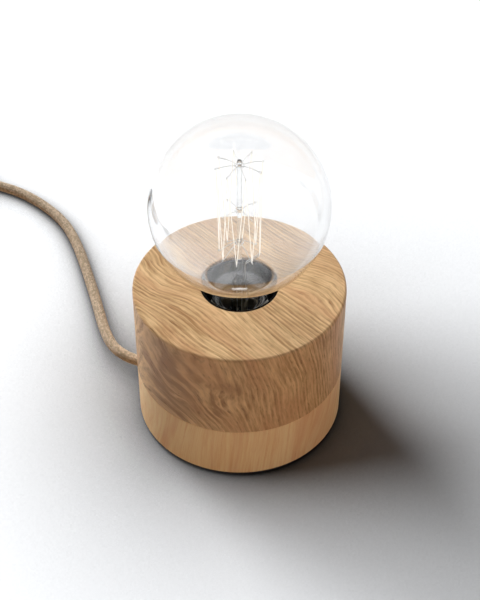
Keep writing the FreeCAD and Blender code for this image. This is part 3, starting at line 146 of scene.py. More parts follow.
def spline_line(name, controls):
    """Points along the NURBS spline of order 3 that has these control points and ends at its end points."""
    curve = bpy.data.curves.new(name, "CURVE")
    curve.dimensions, curve.resolution_u = "3D", LINE_STEPS
    spline = curve.splines.new("NURBS")
    spline.points.add(len(controls) - 1)
    spline.points.foreach_set("co", np.column_stack([controls, np.ones(len(controls))]).ravel())
    spline.order_u = 3
    spline.use_endpoint_u = True
    guide = bpy.data.objects.new(name, curve)
    mesh = bpy.data.meshes.new_from_object(guide)
    points = np.empty(3 * len(mesh.vertices))
    mesh.vertices.foreach_get("co", points)
    bpy.data.objects.remove(guide)
    bpy.data.curves.remove(curve)
    bpy.data.meshes.remove(mesh)
    return points.reshape(-1, 3)


def distances(line):
    """Distance along a line from its start, at each of its points."""
    steps = np.linalg.norm(np.diff(line, axis=0), axis=1)
    return np.concatenate([[0], np.cumsum(steps)])


def evenly(line, step):
    """A line's points again, evenly spaced about a step apart, and the distance along it at each."""
    at = distances(line)
    even = np.linspace(0, at[-1], int(at[-1] / step) + 1)
    return np.stack([np.interp(even, at, line[:, k]) for k in range(3)], axis=-1), even


# ---- meshes -----------------------------------------------------------------------------------------
UP = np.array([0.0, 0.0, 1.0])
SMOOTH_UNDER = math.radians(38)
ON_AXIS = 1e-9


def turns_of(columns):
    return np.arange(columns) * 2 * math.pi / columns


def around_line(line, radius, columns, reference=UP):
    """Grid of points round a line: centre + r (cos a · across + sin a · above), where across is the unit
    vector of reference x tangent, and above is tangent x across. The radius is a number or a grid."""
    tangent = unit(np.gradient(line, axis=0))
    across = unit(np.cross(reference, tangent))
    above = np.cross(tangent, across)
    a = turns_of(columns)[None, :, None]
    radius = np.broadcast_to(np.asarray(radius, float), (len(line), columns))[:, :, None]
    return line[:, None] + radius * (np.cos(a) * across[:, None] + np.sin(a) * above[:, None])


def skin(grid, ends=None):
    """Quads between neighbours of a grid of points whose columns close on themselves. Its rows close on
    themselves too, or, where two end points are given, a fan of triangles joins each end row to its point."""
    rows, columns = grid.shape[:2]
    index = np.arange(rows * columns).reshape(rows, columns)
    ahead = np.roll(index, -1, axis=1)
    points = grid.reshape(-1, 3)
    if ends is None:
        quads = np.stack([index, ahead, np.roll(ahead, -1, axis=0), np.roll(index, -1, axis=0)], -1)
        return points, quads.reshape(-1, 4), np.empty((0, 3), int)
    quads = np.stack([index[:-1], ahead[:-1], ahead[1:], index[1:]], -1).reshape(-1, 4)
    first, last = np.full(columns, len(points)), np.full(columns, len(points) + 1)
    fans = [np.stack([ahead[0], index[0], first], -1), np.stack([index[-1], ahead[-1], last], -1)]
    return np.concatenate([points, np.asarray(ends, float)]), quads, np.concatenate(fans)


def tube(line, radius, columns, reference=UP):
    """A closed round bar along a line."""
    return skin(around_line(line, radius, columns, reference), (line[0], line[-1]))


def turned(profile, columns):
    """Surface of revolution about the lamp's axis: (r cos a, r sin a, z) for each (r, z) of the profile,
    which begins and ends on the axis, or closes on itself."""
    profile = np.asarray(profile, float)
    on_axis = profile[0, 0] < ON_AXIS and profile[-1, 0] < ON_AXIS
    rings = profile[1:-1] if on_axis else profile
    r, z = rings[:, :1], rings[:, 1:]
    a = turns_of(columns)
    grid = np.stack(np.broadcast_arrays(r * np.cos(a), r * np.sin(a), z), axis=-1)
    if on_axis:
        return skin(grid, [(0, 0, profile[0, 1]), (0, 0, profile[-1, 1])])
    return skin(grid)


def volume(points, quads, triangles):
    """Signed volume of a closed surface, above 0 where its faces point outwards."""
    halves = np.concatenate([quads[:, [0, 1, 2]], quads[:, [0, 2, 3]], triangles])
    a, b, c = (points[halves[:, k]] for k in range(3))
    return np.einsum("ij,ij->i", a, np.cross(b, c)).sum() / 6


def mesh_of(name, skins):
    """One mesh from closed surfaces, each turned so that its faces point outwards."""
    mesh = bpy.data.meshes.new(name)
    all_points, loops, sizes, start = [], [], [], 0
    for points, quads, triangles in skins:
        if volume(points - points.mean(axis=0), quads, triangles) < 0:
            quads, triangles = quads[:, ::-1], triangles[:, ::-1]
        all_points.append(points)
        loops += [(quads + start).ravel(), (triangles + start).ravel()]
        sizes += [np.full(len(quads), 4), np.full(len(triangles), 3)]
        start += len(points)
    loops, sizes = np.concatenate(loops), np.concatenate(sizes)
    mesh.vertices.add(start)
    mesh.vertices.foreach_set("co", np.concatenate(all_points).ravel())
    mesh.loops.add(len(loops))
    mesh.loops.foreach_set("vertex_index", loops.astype(np.int32))
    mesh.polygons.add(len(sizes))
    mesh.polygons.foreach_set("loop_start", (np.cumsum(sizes) - sizes).astype(np.int32))
    mesh.update(calc_edges=True)
    mesh.shade_smooth()
    mesh.set_sharp_from_angle(angle=SMOOTH_UNDER)
    return mesh


def piece(name, body, finish, skins, stands_for=()):
    """A finished piece: its mesh, its material, the body it moves with and the nodes that it stands for."""
    made = bpy.data.objects.new(name, mesh_of(name, skins))
    made.data.materials.append(finish)
    bpy.context.scene.collection.objects.link(made)
    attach(made, body)
    if stands_for:
        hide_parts(*stands_for)
    return made


def dress(finish, *names):
    """Gives nodes of the frame a material."""
    for name in names:
        for place in nodes[name].material_slots:
            place.material = finish


# ---- materials --------------------------------------------------------------------------------------
def colour(red, green, blue):
    """A linear colour from the 0 to 255 steps that a screen shows."""
    steps = np.array([red, green, blue]) / 255
    return (*np.where(steps <= 0.04045, steps / 12.92, ((steps + 0.055) / 1.055) ** 2.4), 1.0)


# Outputs of the Texture Coordinate, Light Path, Vector Math, Mix and Ambient Occlusion nodes, by number.
OBJECT_PLACE, LENGTH, MIXED_COLOUR, OPEN_SHARE = 3, 1, 2, 1
CAMERA_RAY, SHADOW_RAY, DIFFUSE_RAY, GLOSSY_RAY, TRANSMISSION_RAY = 0, 1, 2, 3, 6
FACTOR = 2  # of an Attribute node


class Finish:
    """A material in the making: its nodes, and its shader with the values that are the same all over."""

    def __init__(self, name, **values):
        self.material = bpy.data.materials.new(name)
        self.material.use_nodes = True
        self.nodes = self.material.node_tree.nodes
        self.shader = self.nodes["Principled BSDF"]
        for socket, value in values.items():
            self.feed(self.shader.inputs[socket.replace("_", " ")], value)

    def feed(self, socket, value):
        """Links an output to a socket, or sets the socket's own value."""
        if isinstance(value, bpy.types.NodeSocket):
            self.material.node_tree.links.new(value, socket)
        else:
            socket.default_value = value

    def add(self, kind, inputs=(), out=0, **settings):
        """A new node with its settings and its inputs, by number, and one of its outputs."""
        node = self.nodes.new("ShaderNode" + kind)
        for setting, value in settings.items():
            setattr(node, setting, value)
        for i, value in dict(inputs).items():
            self.feed(node.inputs[i], value)
        return node.outputs[out]

    def place(self):
        return self.add("TexCoord", out=OBJECT_PLACE)

    def stretched(self, vector, scales):
        return self.add("VectorMath", {0: vector, 1: scales}, operation="MULTIPLY")

    def noise(self, vector, scale=1.0, detail=2.0, roughness=0.5):
        return self.add("TexNoise", {0: vector, 2: scale, 3: detail, 4: roughness})

    def sum(self, operation, *values):
        return self.add("Math", dict(enumerate(values)), operation=operation)

    def swing(self, value, reach):
        """A texture's 0 to 1, centred and scaled to reach either side of 0."""
        return self.add("Math", {0: value, 1: 2 * reach, 2: -reach}, operation="MULTIPLY_ADD")

    def spread(self, value, low, high, to_low=0.0, to_high=1.0):
        """A value's low to high, as to_low to to_high, and held there outside."""
        return self.add("MapRange", {0: value, 1: low, 2: high, 3: to_low, 4: to_high},
                        interpolation_type="SMOOTHSTEP")

    def mixed(self, share, first, second):
        return self.add("Mix", {0: share, 6: first, 7: second}, out=MIXED_COLOUR, data_type="RGBA")

    def bump(self, height, depth):
        return self.add("Bump", {0: 1.0, 1: depth, 3: height})

    def finished(self, **sockets):
        """Feeds the shader's sockets and returns the material."""
        for socket, value in sockets.items():
            self.feed(self.shader.inputs[socket.replace("_", " ")], value)
        return self.material


# Textures are drawn in features per metre: across the rings, along the grain, and the third way.
SLOW_BEND, QUICK_BEND = (15.0, 7.0, 15.0), (110.0, 30.0, 110.0)
FIBRE, STREAK, PLANK = (2000.0, 90.0, 200.0), (900.0, 30.0, 110.0), (70.0, 30.0, 60.0)
MOTTLE, BLUSH, PORES = (420.0, 45.0, 120.0), (110.0, 16.0, 30.0), (2000.0, 160.0, 360.0)
QUICK_SHARE, KNOT_WRITHE = 1 / 22, 1 / 3  # of the slow bend and of a knot's push, as the quick bend
RING_START, RING_END = (0.0, 0.18), (0.2, 0.95)  # shares of a ring where its dark part begins and fades
RING_LEAST = 0.3  # how dark the faintest ring is beside the darkest
FIBRE_SWING, STREAK_SWING, PLANK_SWING = 1.3, 1.5, 0.9
TONE_RANGE, BLUSH_RANGE, MOTTLE_RANGE, PORE_RANGE = (-0.55, 0.95), (0.42, 0.72), (0.36, 0.62), (0.56, 0.72)
BLUSH_MOST, PORES_BETWEEN, FIBRE_RELIEF = 0.5, 0.2, 0.25
PLANED_ROUGH, PORE_ROUGH = 0.46, 0.66


def wood(name, across, along, ring, bend, tones, streaks, pore_share, depth, knots=()):
    """Wood cut from a block. Rings are bands along the unit vector across, bent by slow and quick noise, each
    with a strength of its own: its first part is darker and porous. Fibres and broader streaks lie in the
    rings and are drawn out along the grain. The tones are light, dark, a blush here and there, and pore, and
    streaks is the share that fibres have in light and dark. The grain bows round each knot (place, reach,
    push, gloom) by push exp(-(distance / reach)^2), and is darker there by the gloom, in mottles."""
    light, dark, blush, pore = tones
    made = Finish(name)
    along = unit(along)
    third = unit(np.cross(across, along))
    across = np.cross(along, third)
    turn = Matrix((tuple(across), tuple(along), tuple(third))).to_euler()
    board = made.add("Mapping", {0: made.place(), 2: turn})
    straight, lengthwise, sideways = (made.add("SeparateXYZ", {0: board}, out=k) for k in range(3))

    bends = made.swing(made.noise(made.stretched(board, SLOW_BEND), detail=1.0), bend)
    quick = made.swing(made.noise(made.stretched(board, QUICK_BEND)), 1.0)
    quick_reach, gloomy = bend * QUICK_SHARE, 0.0
    for at, reach, push, gloom in knots:
        off = made.add("VectorMath", {0: made.place(), 1: at}, out=LENGTH, operation="DISTANCE")
        near = made.sum("EXPONENT", made.sum("MULTIPLY", made.sum("POWER", off, 2.0), -1 / reach ** 2))
        bends = made.sum("MULTIPLY_ADD", near, push, bends)
        quick_reach = made.sum("MULTIPLY_ADD", near, abs(push) * KNOT_WRITHE, quick_reach)
        gloomy = made.sum("MULTIPLY_ADD", near, gloom, gloomy)
    depth_in = made.sum("ADD", straight, made.sum("MULTIPLY_ADD", quick, quick_reach, bends))
    bent = made.add("CombineXYZ", {0: depth_in, 1: lengthwise, 2: sideways})

    count = made.sum("DIVIDE", depth_in, ring)
    year = made.sum("FRACT", count)
    own = made.add("TexWhiteNoise", {1: made.sum("FLOOR", count)}, noise_dimensions="1D")
    left = made.sum("SUBTRACT", 1.0, made.spread(year, *RING_END))
    shade = made.sum("MULTIPLY", made.spread(year, *RING_START), left)
    shade = made.sum("MULTIPLY", shade, made.sum("MULTIPLY_ADD", own, 1 - RING_LEAST, RING_LEAST))

    fibre = made.noise(made.stretched(bent, FIBRE), detail=3.0, roughness=0.6)
    streak = made.noise(made.stretched(bent, STREAK))
    plank = made.noise(made.stretched(board, PLANK))
    drawn = made.sum("ADD", made.swing(streak, STREAK_SWING), made.swing(plank, PLANK_SWING))
    drawn = made.sum("ADD", made.swing(fibre, FIBRE_SWING), drawn)
    tone = made.sum("MULTIPLY_ADD", shade, 1 - streaks, made.sum("MULTIPLY", drawn, streaks))
    mottle = made.noise(made.stretched(bent, MOTTLE), detail=3.0)
    tone = made.sum("MULTIPLY_ADD", gloomy, made.spread(mottle, *MOTTLE_RANGE), tone)
    base = made.mixed(made.spread(tone, *TONE_RANGE), light, dark)
    warm = made.noise(made.stretched(bent, BLUSH))
    base = made.mixed(made.spread(warm, *BLUSH_RANGE, 0.0, BLUSH_MOST), base, blush)

    holes = made.spread(made.noise(made.stretched(bent, PORES), detail=1.0), *PORE_RANGE)
    holes = made.sum("MULTIPLY", holes, made.sum("MULTIPLY_ADD", shade, 1 - PORES_BETWEEN, PORES_BETWEEN))
    base = made.mixed(made.sum("MULTIPLY", holes, pore_share), base, pore)
    rough = made.spread(holes, 0.0, 1.0, PLANED_ROUGH, PORE_ROUGH)
    relief = made.sum("SUBTRACT", made.sum("MULTIPLY", fibre, FIBRE_RELIEF), holes)
    return made.finished(Base_Color=base, Roughness=rough, Normal=made.bump(relief, depth))


MIDDLE_TONES = (0.3, 0.7)  # the part of a noise where nearly all of it lies
GRAIN_SHARE, SCRATCH_SHARE = 0.6, 0.5  # clouds have the rest
CLOUDS, METAL_CLOUDS, DUST = 60.0, 140.0, 900.0  # per metre
DULL_SHARE, DIM_SHARE = 0.72, 0.8  # of a metal where it is dull, and of a hot wire where it is dimmer


def grained(name, light, dark, grains, rough, depth, **values):
    """A moulded, pressed or fired stuff: fine grain of two tones, soft clouds of a few centimetres, and a
    roughness that follows the grain. Grains are counted per metre."""
    made = Finish(name, **values)
    place = made.place()
    grain = made.noise(place, grains, detail=3.0, roughness=0.6)
    cloud = made.noise(place, CLOUDS)
    tone = made.sum("MULTIPLY_ADD", grain, GRAIN_SHARE, made.sum("MULTIPLY", cloud, 1 - GRAIN_SHARE))
    return made.finished(
        Base_Color=made.mixed(made.spread(tone, *MIDDLE_TONES), light, dark),
        Roughness=made.spread(tone, *MIDDLE_TONES, rough * 0.85, min(1.0, rough * 1.2)),
        Normal=made.bump(grain, depth),
    )


def metal(name, shade, rough, streaks, depth=0.00002, **values):
    """Bare metal: fine scratches drawn out by the streak counts per metre, and duller clouds."""
    made = Finish(name, Metallic=1.0, **values)
    place = made.place()
    scratch = made.noise(made.stretched(place, streaks), detail=3.0, roughness=0.65)
    cloud = made.noise(place, METAL_CLOUDS, detail=3.0)
    dull = (*(DULL_SHARE * part for part in shade[:3]), 1.0)
    drawn = made.sum("MULTIPLY_ADD", scratch, SCRATCH_SHARE, made.sum("MULTIPLY", cloud, 1 - SCRATCH_SHARE))
    return made.finished(
        Base_Color=made.mixed(made.spread(cloud, 0.4, 0.75), shade, dull),
        Roughness=made.spread(drawn, *MIDDLE_TONES, rough * 0.75, rough * 1.3),
        Normal=made.bump(scratch, depth),
    )


def glass(name, tint, ripples, depth, index, coat=0.0):
    """Clear glass that lets the lamps' light straight through: faint ripples of blown glass on its faces,
    a breath of dust in its roughness, and a coat where its faces mirror more than one does."""
    made = Finish(name, Base_Color=tint, Transmission_Weight=1.0, IOR=index, Coat_Weight=coat)
    place = made.place()
    ripple = made.noise(place, ripples, detail=1.0)
    dust = made.noise(place, DUST)
    made.finished(Roughness=made.spread(dust, 0.55, 0.8, 0.0, 0.035), Normal=made.bump(ripple, depth))
    shadow = made.add("LightPath", out=SHADOW_RAY)
    clear = made.add("BsdfTransparent")
    both = made.add("MixShader", {0: shadow, 1: made.shader.outputs[0], 2: clear})
    made.feed(made.nodes["Material Output"].inputs[0], both)
    return made.material


def glowing(name, shade, glow, strength):
    """A hot thin wire: bright all along, a little brighter and dimmer over its length."""
    made = Finish(name, Roughness=0.4, Emission_Strength=strength)
    flicker = made.noise(made.place(), 350.0, detail=1.0)
    dimmer = (*(DIM_SHARE * part for part in glow[:3]), 1.0)
    return made.finished(Base_Color=shade, Emission_Color=made.mixed(flicker, glow, dimmer))


CARRIERS = 12  # of yarn, each way round the cord
BRAID_LAY = 0.00203  # along the cord from one carrier to the next
BRAID_DEPTH = 0.00028


def braid_finish(name, light, dark, painted_seam_shade):
    """Braided cover: each carrier is two yarns side by side, with fibres drawn out along them, and a tone of
    its own at each crossing; painted shade darkens it where it dips under the next one and in the groove
    between its yarns.
    U counts carriers round the cord and V carriers along it, so that U + V is constant along one set of
    carriers and U - V along the other."""
    made = Finish(name, Sheen_Weight=0.25, Sheen_Roughness=0.5)
    way = made.add("UVMap", uv_map="braid")
    u = made.add("SeparateXYZ", {0: way})
    v = made.add("SeparateXYZ", {0: way}, out=1)
    first, second = made.sum("ADD", u, v), made.sum("SUBTRACT", u, v)
    family = made.add("Attribute", out=FACTOR, attribute_name="family")
    one = made.sum("SUBTRACT", 1.0, family)
    over = made.sum("ADD", made.sum("MULTIPLY", first, family), made.sum("MULTIPLY", second, one))
    under = made.sum("ADD", made.sum("MULTIPLY", second, family), made.sum("MULTIPLY", first, one))
    drawn = made.add("CombineXYZ", {0: made.sum("MULTIPLY", over, 7.0), 1: made.sum("MULTIPLY", under, 0.8)})
    fibres = made.noise(drawn, 1.0, detail=3.0, roughness=0.6)
    yarn = made.sum("ABSOLUTE", made.sum("SINE", made.sum("MULTIPLY", over, 2 * math.pi)))
    tone = made.add("Attribute", out=FACTOR, attribute_name="tone")
    height = made.add("Attribute", out=FACTOR, attribute_name="height")
    shade = made.sum("ADD", made.sum("MULTIPLY", tone, 0.5), made.sum("MULTIPLY", fibres, 0.6))
    base = made.mixed(made.spread(shade, 0.25, 0.85), light, dark)
    # painted shade: the dark seam colour goes where the braid is sunk and between the two yarns of a carrier
    painted_dip_shade = made.sum("MULTIPLY", made.spread(height, 0.0, 0.6, 1.0, 0.0), 0.8)
    painted_groove_shade = made.sum("MULTIPLY", made.spread(yarn, 0.0, 0.5, 1.0, 0.0), 0.35)
    base = made.mixed(made.sum("MAXIMUM", painted_dip_shade, painted_groove_shade), base, painted_seam_shade)
    relief = made.sum("ADD", yarn, fibres)
    return made.finished(Base_Color=base, Roughness=made.spread(fibres, 0.3, 0.7, 0.75, 0.95),
                         Normal=made.bump(relief, 0.00012))


LEFT_TOP_KNOT = ((-0.047, 0.004, 0.092), 0.02, 0.009, 0.0)
RIGHT_TOP_KNOT = ((0.046, 0.0, 0.092), 0.019, -0.009, 0.0)
LEFT_SIDE_KNOT = ((-0.040, -0.046, 0.066), 0.024, 0.009, 0.9)
FRONT_KNOT = ((-0.012, -0.058, 0.055), 0.012, 0.003, 0.8)

oak = wood("oak", (0.67, 0.70, 0.22), (0.68, -0.55, -0.42), 0.0021, 0.0085,
           (colour(240, 205, 155), colour(160, 118, 74), colour(206, 156, 114), colour(100, 66, 38)),
           0.46, 0.6, 0.0001, (LEFT_TOP_KNOT, RIGHT_TOP_KNOT, LEFT_SIDE_KNOT, FRONT_KNOT))
pale_wood = wood("pale_wood", (0.995, 0.05, -0.08), (0.08, 0.0, 0.995), 0.0047, 0.02,
                 (colour(255, 230, 184), colour(240, 200, 148), colour(224, 164, 122), colour(206, 150, 106)),
                 0.6, 0.2, 0.00004)
dowel_wood = wood("dowel_wood", (1.0, 0.0, 0.0), (0.0, 0.0, 1.0), 0.0015, 0.01,
                  (colour(226, 192, 146), colour(196, 156, 110), colour(212, 170, 124), colour(150, 110, 72)),
                  0.5, 0.4, 0.00006)
cover_board = grained("cover_board", colour(150, 112, 76), colour(112, 80, 52), 900.0, 0.8, 0.00005)
felt = grained("felt", colour(38, 34, 30), colour(16, 14, 12), 2600.0, 0.95, 0.0002, Sheen_Weight=0.4)
zinc_steel = metal("zinc_steel", colour(198, 200, 204), 0.32, (900.0, 900.0, 200.0))
brass = metal("brass", colour(214, 176, 104), 0.28, (200.0, 200.0, 1500.0))
cap_metal = metal("cap_metal", colour(206, 206, 208), 0.22, (150.0, 150.0, 1800.0))
pin_metal = metal("pin_metal", colour(212, 210, 204), 0.18, (1800.0, 120.0, 1800.0))
support_wire = metal("support_wire", colour(240, 239, 236), 0.45, (600.0, 600.0, 600.0))
solder = metal("solder", colour(190, 190, 194), 0.45, (500.0, 500.0, 500.0), 0.00008)
holder_black = grained("holder_black", colour(7, 7, 7), colour(4, 4, 4), 2200.0, 0.62, 0.00002,
                       Specular_IOR_Level=0.12)
switch_black = grained("switch_black", colour(24, 24, 25), colour(15, 15, 16), 3000.0, 0.42, 0.00003)
rocker_black = grained("rocker_black", colour(28, 28, 29), colour(19, 19, 20), 1600.0, 0.3, 0.00001)
plug_black = grained("plug_black", colour(26, 26, 27), colour(16, 16, 17), 2400.0, 0.48, 0.00003)
grommet_rubber = grained("grommet_rubber", colour(30, 29, 28), colour(17, 16, 16), 1800.0, 0.75, 0.00003)
clamp_nylon = grained("clamp_nylon", colour(226, 224, 214), colour(206, 203, 190), 1400.0, 0.5, 0.00002)
live_sleeve = grained("live_sleeve", colour(122, 72, 40), colour(100, 56, 30), 1500.0, 0.45, 0.00001)
neutral_sleeve = grained("neutral_sleeve", colour(64, 108, 172), colour(48, 88, 148), 1500.0, 0.45, 0.00001)
porcelain = grained("porcelain", colour(236, 232, 222), colour(222, 217, 205), 700.0, 0.22, 0.00002,
                    Coat_Weight=0.4)
cement = grained("cement", colour(206, 190, 160), colour(168, 152, 124), 1500.0, 0.9, 0.0001)
cap_glass = grained("cap_glass", colour(20, 18, 26), colour(10, 9, 14), 600.0, 0.12, 0.00001)
cord_cover = grained("cord_cover", colour(226, 202, 174), colour(172, 150, 122), 1800.0, 0.9, 0.0001,
                     Sheen_Weight=0.25)
globe_glass = glass("globe_glass", colour(254, 254, 254), 45.0, 0.00001, 1.76, 0.6)
stem_glass = glass("stem_glass", colour(250, 252, 253), 160.0, 0.00003, 1.32)
filament_wire = glowing("filament_wire", colour(120, 104, 88), colour(255, 250, 238), 1.08)
cord_braid = braid_finish("cord_braid", colour(236, 212, 184), colour(188, 164, 134), colour(96, 84, 66))

dress(felt, "felt_pad")
dress(pale_wood, "pale_base")
dress(oak, "oak_block")
dress(dowel_wood, "dowels")
dress(cover_board, "bottom_cover")
dress(zinc_steel, "oak_screws", "cover_screws", "clamp_screws", "nipple", "nipple_nut", "nipple_washer",
      "terminal_screws", "switch_screws", "rocker_axle")
dress(grommet_rubber, "cord_grommet")
dress(clamp_nylon, "clamp_block", "clamp_strap")
dress(live_sleeve, "live_core", "switch_cores")
dress(neutral_sleeve, "neutral_core")
dress(cord_cover, "inner_cord", "switch_cord_ends")
dress(holder_black, "holder_dome", "holder_skirt")
dress(porcelain, "holder_insert")
dress(brass, "screw_shell", "centre_contact", "contact_rivets", "terminals", "rocker_bridge",
      "switch_contacts")
dress(support_wire, "lead_out_wires")
dress(cap_metal, "screw_cap")
dress(cap_glass, "cap_insulator")
dress(solder, "cap_contact")
dress(cement, "cap_cement")
dress(switch_black, "switch_base", "switch_top")
dress(rocker_black, "switch_rocker")
dress(plug_black, "plug_relief", "plug_body")
dress(pin_metal, "plug_pins")


# ---- cords ------------------------------------------------------------------------------------------
def braid_map(mesh, columns, along):
    """The braid's UV map: carriers round the cord, by column, and carriers along it, by the distance at each
    ring. A face across the first column counts on past the last one."""
    corners = np.empty(len(mesh.loops), int)
    mesh.loops.foreach_get("vertex_index", corners)
    sizes = np.empty(len(mesh.polygons), int)
    mesh.polygons.foreach_get("loop_total", sizes)
    column = (corners % columns).astype(float)
    face = np.repeat(np.arange(len(sizes)), sizes)
    highest = np.maximum.reduceat(column, np.cumsum(sizes) - sizes)[face]
    column = np.where((highest == columns - 1) & (column < columns / 2), column + columns, column)
    ring = np.clip(corners // columns, 0, len(along) - 1)
    layer = mesh.uv_layers.new(name="braid")
    layer.data.foreach_set("uv", np.stack([column * CARRIERS / columns, along[ring] / BRAID_LAY], -1).ravel())


def braided(name, line, step, columns, stands_for):
    """A braided cord along a line: its radius is the cord's, less the braid's depth where no carrier is on
    top. With a = carriers x turn + s / lay and b = carriers x turn - s / lay, the first set lies on top where
    floor a + floor b is even, and a carrier's height is |sin pi a| or |sin pi b|."""
    points, at = evenly(line, step)
    turn = np.arange(columns) / columns
    a = CARRIERS * turn + at[:, None] / BRAID_LAY
    b = CARRIERS * turn - at[:, None] / BRAID_LAY
    family = (np.floor(a) + np.floor(b)) % 2 == 0
    height = np.where(family, np.abs(np.sin(math.pi * a)), np.abs(np.sin(math.pi * b)))
    tones = rng.random((CARRIERS, int(at[-1] / BRAID_LAY) + 2 * CARRIERS))
    tone = tones[np.floor(a).astype(int) % CARRIERS, np.abs(np.floor(b)).astype(int) % tones.shape[1]]
    cord = piece(name, "base", cord_braid, [tube(points, CORD_R - BRAID_DEPTH * (1 - height), columns)],
                 stands_for)
    braid_map(cord.data, columns, at)
    for label, values in (("family", family), ("tone", tone), ("height", height)):
        field = cord.data.attributes.new(label, "FLOAT", "POINT")
        field.data.foreach_set("value", np.append(values.astype(float).ravel(), [0.5, 0.5]))
    return cord


lamp_line = spline_line("lamp_stretch", lamp_controls)
supply_line = spline_line("supply_stretch", supply_controls)
braided("cord_to_switch", lamp_line, 0.0004, 60,
        ["lamp_cord"])
braided("cord_to_plug", supply_line, 0.0008, 48,
        ["supply_cord", "cord_coil", "plug_cord"])

# ---- bulb -------------------------------------------------------------------------------------------
GLOBE_R, GLOBE_Z, BULB_L, GLASS_T = 0.0475, 0.14585, 0.140, 0.0008
NECK_R, NECK_BLEND_R, NECK_FOOT = 0.0165, 0.012, 0.0065
CAP_NECK_R, CAP_NECK_L, CAP_L = 0.0108, 0.01635, 0.027
CAP_TOP = GLOBE_Z + GLOBE_R - BULB_L + CAP_L
STEM_R, STEM_WALL, STEM_TIP_R = 0.0045, 0.0009, 0.0019
STEM_SHOULDER_Z, STEM_TIP_Z, STEM_HOLLOW_Z, FLARE_H = 0.098, 0.109, 0.088, 0.009
ROD_R, ROD_TOP_Z, BEAD_R, BEAD_H = 0.00125, 0.1755, 0.0024, 0.003
CAGE_N, CAGE_AZIMUTH, CAGE_TOP_Z, CAGE_TOP_R = 8, 14.5, 0.1723, 0.012
CAGE_FOOT_Z, CAGE_FOOT_R, FOOT_BEAD_Z = 0.1139, 0.0109, 0.1216
MIDDLE_Z, MIDDLE_R, MIDDLE_N, MIDDLE_AZIMUTH = 0.1433, 0.0102, 4, 37.0
STRAND_STEP = 360.0 / CAGE_N
LEADS_AZIMUTH = CAGE_AZIMUTH - STRAND_STEP / 2
HOOK_WIRE_R, FILAMENT_R, LEAD_R = 0.0002, 0.0002, 0.00025
LEAD_SPREAD, LEAD_FOOT_SPREAD, LEAD_CIRCLE_R = 4.0, 16.0, 0.0032
SKIN = 0.00005
FLARE_POWER, SHOULDER_H, STEM_DOME_H = 2.5, 0.007, 0.003
ROD_EDGE, BEAD_OPEN = 0.0008, 0.96
EYE_R, HOOK_ROOT, HOOK_BOW = 0.0006, 0.0004, 0.0012
LEAD_FOOT_Z, LEAD_KNEE_DROP = 0.090, 0.002


def polar(radius, degrees, z):
    """Points at a radius and azimuth about the lamp's axis."""
    turn = np.radians(degrees)
    return np.stack(np.broadcast_arrays(radius * np.cos(turn), radius * np.sin(turn), z), axis=-1)


def soft_way(points, step, reach):
    """Points of a wire with rounded turns: the straight runs read a step apart, each point the mean of
    those within reach."""
    line = evenly(np.asarray(points, float), step)[0]
    half = int(reach / step)
    padded = np.pad(line, ((half, half), (0, 0)), mode="edge")
    window = np.ones(2 * half + 1) / (2 * half + 1)
    return np.stack([np.convolve(padded[:, k], window, "valid") for k in range(3)], axis=-1)


def glass_side(inset):
    """Globe and neck as (r, z) from the top down: the ball's arc, the hollow arc that runs into the neck, the
    neck, its narrowing foot (3 t^2 - 2 t^3), and the end sealed in the cap."""
    ball, blend, neck, narrow = GLOBE_R - inset, NECK_BLEND_R + inset, NECK_R - inset, CAP_NECK_R - inset
    blend_z = GLOBE_Z - math.sqrt((ball + blend) ** 2 - (neck + blend) ** 2)
    low = math.atan2(blend_z - GLOBE_Z, neck + blend)
    arc = np.linspace(math.pi / 2, low, 84)
    turn = np.linspace(low + math.pi, math.pi, 14)[1:]
    foot = np.linspace(0, 1, 9)
    return np.concatenate([
        np.stack([ball * np.cos(arc), GLOBE_Z + ball * np.sin(arc)], -1),
        np.stack([neck + blend + blend * np.cos(turn), blend_z + blend * np.sin(turn)], -1),
        np.stack([neck + (narrow - neck) * smooth_step(foot), CAP_TOP + NECK_FOOT * (1 - foot)], -1),
        [(narrow, CAP_TOP - CAP_NECK_L)],
    ])


outer, inner = glass_side(0.0), glass_side(GLASS_T)
outer[0, 0] = inner[0, 0] = 0.0
piece("bulb_globe", "bulb", globe_glass, [turned(np.concatenate([outer, inner[::-1]]), 176)],
      ["glass_globe"])


def stem_profile():
    """The stem's outside from its flared foot, r + (flare - r)(1 - t)^2.5, up its tube, over a soft shoulder
    and round its tip, and then down its hollow."""
    low, wide = CAP_TOP - CAP_NECK_L, CAP_NECK_R - GLASS_T - SKIN
    t = np.linspace(0, 1, 12)
    flare = STEM_R + (wide - STEM_R) * (1 - t) ** FLARE_POWER
    shoulder = STEM_R + (STEM_TIP_R - STEM_R) * smooth_step(t)
    tip = np.linspace(0, math.pi / 2, 8)
    tip_z = STEM_TIP_Z - STEM_TIP_R
    inside = np.stack([flare - STEM_WALL, low + FLARE_H * t], -1)
    return np.concatenate([
        np.stack([flare, low + FLARE_H * t], -1),
        np.stack([shoulder, STEM_SHOULDER_Z - SHOULDER_H * (1 - t)], -1),
        np.stack([STEM_TIP_R * np.cos(tip), tip_z + STEM_TIP_R * np.sin(tip)], -1)[:-1],
        [(0, STEM_TIP_Z), (0, STEM_HOLLOW_Z)],
        np.stack([(STEM_R - STEM_WALL) * np.sin(tip[1:]),
                  STEM_HOLLOW_Z - STEM_DOME_H * (1 - np.cos(tip[1:]))], -1),
        inside[::-1],
    ])


stem = stem_profile()
split = int(np.argmin(stem[:, 0]))
stem_rings = np.concatenate([stem[split + 1:], stem[:split + 1]])
piece("bulb_stem", "bulb", stem_glass, [turned(stem_rings, 64)], ["glass_stem"])


def rod_profile(radius, low, high, edge, steps=7):
    """A round bar's outline with its two ends rounded off by quarter circles."""
    a = np.linspace(0, math.pi / 2, steps)
    foot = np.stack([radius - edge + edge * np.sin(a), low + edge * (1 - np.cos(a))], -1)
    head = np.stack([radius - edge + edge * np.cos(a), high - edge * (1 - np.sin(a))], -1)
    return np.concatenate([[(0, low)], foot, head, [(0, high)]])


